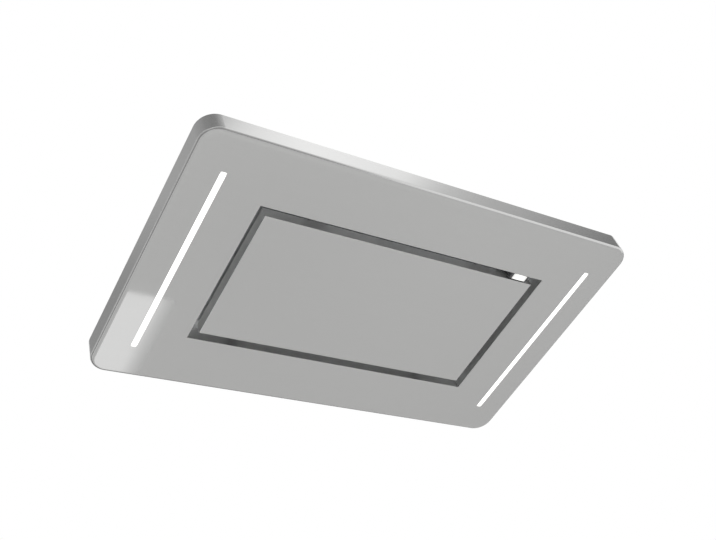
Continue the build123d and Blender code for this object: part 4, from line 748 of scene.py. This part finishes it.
# The folds' steel is lighter than the face's: painted light against the shade in the gap.
folds.materials.append(brushed_metal("mill_steel_painted_light", (0.84, 0.84, 0.835), 0.5, (40, 40, 40), 0.04))
for face in folds.polygons:
    if abs(face.normal.z) < 0.5:
        face.material_index = 1
hinge_steel = brushed_metal("hinge_steel", (0.56, 0.57, 0.575), 0.3, (260, 260, 260), 0.05)
dress(hinge_steel, "hinge_arm_left", "hinge_arm_right", "hinge_bracket_left", "hinge_bracket_right")
dress(bright_zinc, "hinge_pins")
dress(brushed_metal("strike_zinc", (0.62, 0.63, 0.63), 0.24, (30, 600, 600), 0.05), "strike_plates")
welds, hinge_weld, strike_weld = bmesh.new(), (134.5, -45.3), (-147, -23)
for x in (-237, -223, 223, 237):
    add_turning(welds, [(0, 0.6), (1.6, 0.5), (2.4, 0.2), (2.7, 0)], facing((x, *hinge_weld), (0, 0, 1)), 16)
for x in (-213, -187, 187, 213):
    add_turning(welds, [(0, -0.3), (1.2, -0.25), (1.9, 0.2), (2.3, 0)],
                facing((x, *strike_weld), (0, 0, -1)), 16)
piece("panel_spot_welds", welds, hinge_steel, body="panel")

# --------------------------------------
# Magnet catches: a black ferrite magnet between two plated pole strips in a moulded case, on the
# front of the carrier. They hold the strike plates on the panel.
dress(moulded("magnet_case", (0.3, 0.3, 0.305), 0.45, 1200), "magnet_catches")
poles = bmesh.new()
for x in (-200, 200):
    for y in (-152, -147.8):
        add_block(poles, (x - 16, y - 0.7, -21.65), (x + 16, y + 0.7, -20.6), 0.2)
fasteners("magnet_poles", poles)

# --------------------------------------
# Receiver: a small moulded case on the front wall of the opening, near its right corner. An opal
# lens fills its underside, in the gap beside the panel. Its glow is a painted glint, not a lamp.
case = bmesh.new()
add_block(case, (257, -171.4, -46.6), (303, -156, -33), 1.2, 3)
for left in (265, 288):
    add_block(case, (left, -171.4, -33), (left + 7, -169, -29), 0.4, 2)
piece("receiver_case", case, grey_moulding)
# The lens's emission is a painted glint: full within 6 mm of its middle, about a third at its ends.
receiver_painted_glint, shader, place = opal("receiver_painted_glint", 0.72)
across = away(wired(place.id_data, "SeparateXYZ", {0: place}).outputs["X"], 0.28)
wire(shader, {"Emission Color": glow_of(between(across, 1, 0.35, 0.006, 0.017))})
lens = bmesh.new()
add_block(lens, (263, -170.6, -47.4), (298, -156.8, -45), 0.9, 3)
piece("receiver_lens", lens, receiver_painted_glint, 40)

# --------------------------------------
# Housing: galvanised walls that stand on the slab, turned out at the foot of the two long sides
# and turned in under the roof. Pressed beads stiffen them, and blind rivets close the corners.
wall_half_x, wall_half_y, wall_top, wall_sheet, wall_length = 351, 184.5, 186.3, 1, 350
foot, roof_ledge, outlet_z, outlet_bore = 22, 15, 99.3, 73.5


def upright(across, outward, place):
    """A plane that stands at place, with across as its X, the hood's Z as its Y, and outward as its Z."""
    return at(*place) @ Matrix((across, (0, 0, 1), outward)).transposed().to_4x4()


def add_wall(build, half_length, place, beads, holes=()):
    """A wall in place's XY plane with its outside along Z. Beads are (x, y, length, turn)."""
    outlines = add_beads(build, place, beads, 16, 3.2, 4.2, turned_over)
    outline = box_loop(-half_length, half_length, 0, wall_top)
    add_sheet(build, [outline, *outlines, *holes], 0, place)
    add_sheet(build, [outline, *holes], 0, place @ at(0, 0, -wall_sheet))
    add_edges(build, [outline, *holes], (0, -wall_sheet), place)
    ledge = [(-wall_sheet, wall_top), (-roof_ledge, wall_top), (-roof_ledge, wall_top - wall_sheet),
             (-wall_sheet, wall_top - wall_sheet)]
    add_rings(build, [[(x, y, z) for z, y in ledge] for x in (-half_length, half_length)], place, capped=True)


turned_over = Matrix.Rotation(math.pi, 4, "X")
front = upright((1, 0, 0), (0, -1, 0), (0, -wall_half_y, 0))
rear = upright((-1, 0, 0), (0, 1, 0), (0, wall_half_y, 0))
walls = bmesh.new()
bead_levels = (50, 93, 136)
add_wall(walls, wall_length, front, [(x, y, 280, 0) for x in (-165, 165) for y in bead_levels])
add_wall(walls, wall_length, rear, [(x, y, 190, 0) for x in (-215, 215) for y in bead_levels],
         [round_loop(0, outlet_z, outlet_bore, 64)])
add_wall(walls, wall_half_y, upright((0, -1, 0), (-1, 0, 0), (-wall_half_x, 0, 0)),
         [(x, 155, 130, 0) for x in (-85, 85)])
add_wall(walls, wall_half_y, upright((0, 1, 0), (1, 0, 0), (wall_half_x, 0, 0)),
         [(x, 140, 130, 0) for x in (-85, 85)] + [(0, 30, 150, 0)])
foot_holes = [round_loop(x, wall_half_y - flange_screws_y, clearance_hole, 12) for x in flange_screws_x]
for place in (front, rear):
    add_sheet(walls, [box_loop(-wall_length, wall_length, -foot, 0), *foot_holes], wall_sheet,
              place @ Matrix.Rotation(-math.pi / 2, 4, "X"))
piece("housing_walls", walls, galvanised, 24, "housing_shell")

rivets, rivet_x = bmesh.new(), 343.5
rivet_dome = [(3.4, 0), (3.4, 0.3), (3, 0.9), (2.2, 1.4), (1, 1.6), (0.9, 1), (0, 1)]
for z in (18, 56, 94, 132, 170):
    for side in (-1, 1):
        for way in (-1, 1):
            add_turning(rivets, rivet_dome, facing((side * rivet_x, way * wall_half_y, z), (0, way, 0)), 18)
fasteners("corner_rivets", rivets)

# --------------------------------------
# Roof: one galvanised plate screwed down on the ledges. Long beads are pressed up into it, and the
# blower hangs from its middle.
roof_top, roof_screws_y = wall_top + 1.2, 177
roof_beads = [(0, y, 580, 0) for y in (-128, 128)] + [
    (x, y, 200, 0) for x in (-222, 222) for y in (-64, 0, 64)] + [(0, 60, 160, 0)]
roof = bmesh.new()
outlines = add_beads(roof, at(0, 0, roof_top), roof_beads, 18, 2.5, 4.2, turned_over)
roof_loop = rounded_loop(wall_half_x - 0.2, wall_half_y, 2, 4)
add_sheet(roof, [roof_loop, *outlines], 0, at(0, 0, roof_top))
add_sheet(roof, [roof_loop], 0, at(0, 0, wall_top))
add_edges(roof, [roof_loop], (wall_top, roof_top))
piece("roof_plate", roof, galvanised, 24, "housing_roof")

screws = bmesh.new()
for x in flange_screws_x:
    for side in (-1, 1):
        add_screws(screws, [(x, side * flange_screws_y, wall_sheet)], (0, 0, 1), 2, 8, 0.009 * x)
        add_screws(screws, [(x, side * roof_screws_y, roof_top)], (0, 0, 1), 2, 6, 0.007 * x + side)
fasteners("housing_screw_heads", screws, "housing_screws")

# --------------------------------------
# Hanger brackets: four thick galvanised angles with two gussets each, bolted to the end walls.
# The rods from the ceiling pass down through their feet.
heavy_zinc = zinc_sheet("heavy_zinc", (0.46, 0.475, 0.485), (0.6, 0.615, 0.625), 0.38, 95)
dress(heavy_zinc, "hanger_brackets")


def add_hexagon(build, size, levels, place):
    """A hexagon with chamfered ends. Levels are (share of its size, height)."""
    add_rings(build, [raised(round_loop(0, 0, size * share, 6), height) for share, height in levels],
              place, capped=True)


bolts, bracket_face_x, bolt_z = bmesh.new(), 353.5, 32.5
for side in (-1, 1):
    for y in (-154, -126, 126, 154):
        seat = facing((side * bracket_face_x, y, bolt_z), (side, 0, 0))
        add_turning(bolts, [(3, 0), (6.4, 0), (6.6, 0.2), (6.6, 0.8), (6.4, 1), (3, 1)], seat, 32)
        add_hexagon(bolts, 5.1, ((0.96, 1), (1, 1.4), (1, 3.6), (0.95, 4.1)),
                    seat @ Matrix.Rotation(math.pi / 6, 4, "Z"))
        add_turning(bolts, [(3, 0), (3, -9), (2.4, -9.5), (0, -9.5)], seat, 16)
fasteners("bracket_hex_bolts", bolts, "bracket_bolts", 24)

# --------------------------------------
# Blower: a rolled galvanised scroll between two flat sides, each with a spun inlet ring. The
# double impeller turns on the motor's own shaft, with blades tabbed into its plate and rings.
scroll_zinc = zinc_sheet("scroll_zinc", (0.49, 0.505, 0.515), (0.63, 0.645, 0.655), 0.33, 150)
dress(scroll_zinc, "scroll_wrap", "scroll_side_left", "scroll_side_right")
dress(brushed_metal("spun_zinc", (0.6, 0.615, 0.625), 0.26, (500, 40, 40), 0.06), "inlet_ring_left",
      "inlet_ring_right")
dress(brushed_metal("blade_zinc", (0.57, 0.585, 0.595), 0.32, (20, 500, 500), 0.05), "impeller",
      "impeller_blades")
dress(brushed_metal("ground_steel", (0.56, 0.56, 0.565), 0.16, (30, 900, 900), 0.04), "motor_shaft")

# --------------------------------------
# Motor: two enamelled end bells over a stack of bare laminations, on a three-armed zinc spider.
# Its shaft comes out of the inner bell into the impeller's hub.
motor_y, motor_z, stack_radius, stack_left, stack_right = -30, 82.3, 43, -59.8, -30.2
bell_face_x, bell_screws_radius = -75.2, 37.2
enamel, shader, tree = material("motor_enamel", (0.035, 0.036, 0.04), 0, 0.32)
peel = wired(tree, "Group", {"Fineness": 420}, node_tree=moulded_grain).outputs
wire(shader, {"Base Color": mixed(peel["Gloss"], (0.03, 0.031, 0.035), (0.043, 0.044, 0.048)),
              "Roughness": between(peel["Gloss"], 0.26, 0.38), "Normal": bump(peel["Height"], 0.2, 0.00006),
              "Coat Weight": 0.35, "Coat Roughness": 0.2})
laminations, shader, tree = material("motor_laminations", (0.3, 0.3, 0.31), 1, 0.38)
leaves = wired(tree, "TexWave", {"Vector": own_place(tree), "Scale": 300, "Distortion": 0.4},
               wave_type="BANDS", bands_direction="X").outputs["Fac"]
wire(shader, {"Base Color": mixed(leaves, (0.2, 0.2, 0.21), (0.36, 0.36, 0.37)),
              "Roughness": between(leaves, 0.46, 0.3), "Normal": bump(leaves, 0.4, 0.00008)})
motor = bmesh.new()
add_turning(motor, [
    (5.1, -30), (5.1, -75.5), (9, -76), (14, -76), (14.5, -75.2), (38, -75.2), (40.5, -74.7),
    (42.8, -72.8), (43.8, -70), (44, -67), (44, -60.2), (43.7, -59.9), (stack_radius, stack_left),
    (stack_radius, stack_right), (43.7, -30.1), (44, -29.8), (44, -22.5), (43.8, -19.5), (42.6, -16.6),
    (40.3, -14.9), (38, -14.5), (17, -14.5), (15, -14.1), (10, -14), (5.1, -14), (5.1, -30)],
    at(0, motor_y, motor_z) @ Matrix.Rotation(math.pi / 2, 4, "Y"), 72)
for step in range(4):
    turn = math.tau * (step + 0.5) / 4
    seat = facing((bell_face_x, motor_y + bell_screws_radius * math.cos(turn),
                   motor_z + bell_screws_radius * math.sin(turn)), (-1, 0, 0))
    add_turning(motor, [(2.6, 0), (2.6, 0.5), (2.1, 0.8), (1.1, 0.8), (0.9, 0.4), (0, 0.4)], seat, 12)
bmesh.ops.recalc_face_normals(motor, faces=motor.faces)
for face in motor.faces:
    x, y, z = face.calc_center_median() / mm
    on_stack = abs(math.hypot(y - motor_y, z - motor_z) - stack_radius) < 0.3
    face.material_index = int(stack_left < x < stack_right and on_stack)
piece("motor_case", motor, [enamel, laminations], stands_for="motor_body")
dress(brushed_metal("spider_zinc", (0.57, 0.58, 0.58), 0.3, (120, 120, 120), 0.05), "motor_bracket")

# --------------------------------------
# Blower mounts: angles on the scroll's sides hang from the roof on rubber buffers, each clamped
# by a long screw.
dress(heavy_zinc, "blower_brackets")
black_rubber = moulded("black_rubber", (0.022, 0.022, 0.023), 0.62, 700, 0.00008, 0.35)
dress(black_rubber, "rubber_mounts")
hangers = bmesh.new()
hanger_screws = [(x, y, roof_top) for x in (-85, 85) for y in (-69, 9)]
add_screws(hangers, hanger_screws, (0, 0, 1), 2, 17)
fasteners("blower_screw_heads", hangers, "blower_screws")

# --------------------------------------
# Outlet: a pressed duct from the scroll to the rear wall, then a rolled spigot welded on a square
# flange. A groove near its mouth holds the duct's clip, and its edge is curled in.
dress(scroll_zinc, "discharge_duct")
flange_sheet, flange_half, flange_screw, spigot_radius = 1.2, 87, 81, 75
flange_screws = [(x, y) for x in (-flange_screw, flange_screw) for y in (-flange_screw, flange_screw)]
flange_place = upright((-1, 0, 0), (0, 1, 0), (0, wall_half_y, outlet_z))
weld = flange_sheet - 0.1
groove = [(0, 39.5), (-0.2, 40.4), (-0.8, 41.2), (-1.1, 42.2), (-1.1, 43.2), (-0.8, 44.2), (-0.2, 45),
          (0, 45.9)]
spigot = bmesh.new()
add_sheet(spigot, [rounded_loop(flange_half, flange_half, 12, 8), round_loop(0, 0, outlet_bore, 96)] + [
    round_loop(x, y, clearance_hole, 12) for x, y in flange_screws], flange_sheet, flange_place)
add_turning(spigot, [
    (75.2, weld), (77.2, weld + 0.1), (76.4, weld + 1.1), (75.45, weld + 2), (spigot_radius, weld + 3.6),
    *((spigot_radius + inward, along) for inward, along in groove), (spigot_radius, 55.1), (74.85, 55.8),
    (74.3, 56.2), (73.6, 56.1), (73.3, 55.6), (73.3, 54.9), (outlet_bore, 54.5),
    *((outlet_bore + inward, along) for inward, along in reversed(groove)), (outlet_bore, 0)],
    flange_place, 96)
spigot_zinc = zinc_sheet("spigot_zinc", (0.52, 0.535, 0.545), (0.66, 0.675, 0.685), 0.28, 110)
piece("duct_spigot", spigot, spigot_zinc, 28, "outlet_collar")
flange_heads = bmesh.new()
for x, z in flange_screws:
    seat = (x, wall_half_y + flange_sheet, outlet_z + z)
    add_screws(flange_heads, [seat], (0, 1, 0), 2, 8, 0.04 * (x + 2 * z))
fasteners("flange_screw_heads", flange_heads, "collar_screws")

# --------------------------------------
# Non-return flaps: two aluminium half discs on one upright pin. Each has pressed ribs, and a strip
# of soft foam along its curved edge that closes without noise.
flap_face, foam_face = 206.2, 206.3
flap_aluminium = brushed_metal("flap_aluminium", (0.72, 0.73, 0.74), 0.33, (300, 300, 8), 0.05)
dress(flap_aluminium, "flap_left", "flap_right")
dress(bright_zinc, "flap_pin")
seal_foam = moulded("seal_foam", (0.03, 0.03, 0.032), 0.85, 500, 0.0003, 0.6)
for side, label in sides:
    ribs = bmesh.new()
    for rise, middle, length in ((-40, 31, 34), (0, 37.5, 48), (40, 31, 34)):
        rib_place = upright((1, 0, 0), (0, -1, 0), (side * middle, flap_face, outlet_z + rise))
        add_bead(ribs, rib_place, length, 7, 0.9)
    piece("flap_ribs_" + label, ribs, flap_aluminium, body="flap_" + label)
    foam = bmesh.new()
    turns = [math.radians(-78 + 156 * step / 24) for step in range(25)]
    add_rings(foam, [
        [(side * radius * math.cos(turn), foam_face + proud, outlet_z + radius * math.sin(turn))
         for radius, proud in ((72, 0), (72, 0.9), (71.2, 1.5), (69.2, 1.5), (68.4, 0.9), (68.4, 0))]
        for turn in turns], capped=True)
    piece("flap_foam_" + label, foam, seal_foam, body="flap_" + label)

# --------------------------------------
# Control box: a grey moulded tray on the left wall that holds the board and the terminals. Its
# cover has a raised rim and panel, a row of vents, and a screw sunk in a well at each corner.
dress(grey_moulding, "control_box")
dress(circuit_lacquer, "control_board")
dress(moulded("terminal_moulding", (0.5, 0.5, 0.48), 0.4, 1600), "terminal_block")
cover_low, cover_high = (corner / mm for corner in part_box("control_box_cover"))
cover_half_y, cover_half_z = (cover_high.y - cover_low.y) / 2, (cover_high.z - cover_low.z) / 2
cover_sheet, well_depth, box_left, box_right = 1.4, 0.6, -394.5, -351.5
cover_x, cover_z = -397, (cover_low.z + cover_high.z) / 2
cover_place = upright((0, -1, 0), (-1, 0, 0), (cover_x, 0, cover_z))
cover_screws = [(x, y) for x in (-79, 79) for y in (-44, 44)]
vents = [rounded_loop(0.9, 11, 0.8, 3, (-62 + 4.2 * step, 30)) for step in range(12)]
wells = [round_loop(x, y, 4.8, 24) for x, y in cover_screws]


def cover_outline(inward):
    """The cover's outline, this far in."""
    return rounded_loop(cover_half_y - inward, cover_half_z - inward, max(4 - inward, 1.2), 8)


def raised_panel(inward):
    """The outline of the cover's raised panel, this far in from its foot."""
    return rounded_loop(66 - inward, 18 - inward, 4 - inward, 8, (0, -18))


cover = bmesh.new()
add_rings(cover, [raised(cover_outline(inward), height) for inward, height in (
    (0, 0), (0, 1.4), (0.2, 1.8), (0.6, 2), (3.2, 2), (3.5, 1.8), (3.8, 1.4))], cover_place)
add_sheet(cover, [cover_outline(3.8), raised_panel(0), *vents, *wells], 0,
          cover_place @ at(0, 0, cover_sheet))
add_sheet(cover, [cover_outline(0), *vents], 0, cover_place)
add_edges(cover, vents, (0, cover_sheet), cover_place)
add_rings(cover, [raised(raised_panel(inward), height)
                  for inward, height in ((0, cover_sheet), (0.4, 2.2), (0.9, 2.4))], cover_place)
add_sheet(cover, [raised_panel(0.9)], 0, cover_place @ at(0, 0, 2.4))
for well, (x, y) in zip(wells, cover_screws):
    bottom = round_loop(x, y, 4.5, 24)
    add_rings(cover, [raised(well, cover_sheet), raised(bottom, -well_depth)], cover_place)
    add_sheet(cover, [bottom], 0, cover_place @ at(0, 0, -well_depth))
piece("control_cover", cover, grey_moulding, 28, "control_box_cover")
cover_heads = bmesh.new()
for x, y in cover_screws:
    seat = (cover_x + well_depth, -x, cover_z + y)
    add_screws(cover_heads, [seat], (-1, 0, 0), 1.6, 6, 0.03 * x + 0.02 * y)
fasteners("cover_screw_heads", cover_heads)
box_ribs = bmesh.new()
for y in (-54, -18, 18, 54):
    add_block(box_ribs, (box_left, y - 0.8, 20.6), (box_right, y + 0.8, 22.2), 0.4)
for z in (50, 77, 104):
    for low, high in ((-91.4, -89.8), (89.8, 91.4)):
        add_block(box_ribs, (box_left, low, z - 0.8), (box_right, high, z + 0.8), 0.4)
piece("control_box_ribs", box_ribs, grey_moulding)

# --------------------------------------
# Cable gland: a moulded body screwed through the box's top, with a hexagon and a fluted dome nut.
# The supply cable isn't part of the hood, so its bore is open.
gland_x, gland_y, gland_base, gland_bore, dome_foot = -374, -71, 132, 4.2, 140.8
gland_place = at(gland_x, gland_y, 0)
gland = bmesh.new()
for low, high in ((128, 130), (gland_base, dome_foot)):
    add_hexagon(gland, 9.5 / math.cos(math.pi / 6), (
        (0.965, low), (1, low + 0.4), (1, high - 0.5), (0.965, high)), gland_place)
flutes = [(turn, 0.45 * max(0, math.cos(12 * turn)) ** 2)
          for turn in (math.tau * step / 96 for step in range(96))]
add_rings(gland, [
    [(gland_x + (radius - deep * cut) * math.cos(turn), gland_y + (radius - deep * cut) * math.sin(turn), z)
     for turn, cut in flutes] for radius, z, deep in (
        (8, dome_foot, 0), (8.7, 141.1, 0.4), (8.8, 142, 1), (8.8, 149, 1), (8.6, 150.6, 0.7),
        (8, 152, 0.2), (7, 153.2, 0), (6, 153.8, 0), (5, 154, 0), (4.5, 153.8, 0),
        (gland_bore, 153.4, 0), (gland_bore, 128.1, 0))])
add_turning(gland, [(6.6, 128.5), (6.6, gland_base)], gland_place, 32)
gland_nylon = moulded("gland_nylon", (0.16, 0.162, 0.168), 0.38, 1500)
piece("supply_gland", gland, gland_nylon, 34, "cable_gland")

# --------------------------------------
# Light driver: a white moulded case on the right wall. Its cover has cooling ribs between two
# terminal covers, and a screw holds each ear.
driver_z, ear_x, ear_y, ear_sheet, ear_screws_y = 81, 351, 77.5, 2, 79.5
white_moulding = moulded("white_moulding", (0.76, 0.76, 0.74), 0.36, 1500, 0.00004, 0.25)
driver, driver_heads = bmesh.new(), bmesh.new()
add_block(driver, (351.2, -73.5, 60.2), (369, 73.5, 101.8), 3, 3)
add_block(driver, (369.6, -75, 60), (378, 75, 102), 2.6, 3)
add_block(driver, (368.5, -72.8, 61.2), (370.2, 72.8, 100.8), 0.4)
for step in range(11):
    y = -40 + 8 * step
    add_block(driver, (377.5, y - 1.3, 65.5), (379, y + 1.3, 96.5), 0.6, 2)
for side, low, high in ((-1, -71.5, -50), (1, 50, 71.5)):
    add_block(driver, (377.2, low, 64), (378.8, high, 98), 0.7, 2)
    ear, ear_hole = rounded_loop(5.5, 10.5, 3, 6), rounded_loop(1.6, 2.6, 1.5, 6, (side * 2, 0))
    add_sheet(driver, [ear, ear_hole], ear_sheet,
              upright((0, 1, 0), (1, 0, 0), (ear_x, side * ear_y, driver_z)))
    add_screws(driver_heads, [(ear_x + ear_sheet, side * ear_screws_y, driver_z)], (1, 0, 0), 1.6, 4, side)
    add_screws(driver_heads, [(378.8, side * 60.8, 69)], (1, 0, 0), 1.2, 3, side * 2)
piece("light_driver_case", driver, white_moulding, 30, "led_driver")
fasteners("driver_screw_heads", driver_heads)

# --------------------------------------
# Capacitor and wiring: a moulded can strapped to the wall, and the motor's cable under saddles,
# through a rubber bush into the control box.
dress(moulded("capacitor_can", (0.7, 0.7, 0.68), 0.42, 1300), "capacitor")
dress(moulded("cable_sheath", (0.028, 0.028, 0.03), 0.45, 600, 0.00006), "motor_cable")
dress(spring_steel, "wiring_clips")
dress(black_rubber, "wall_grommet")
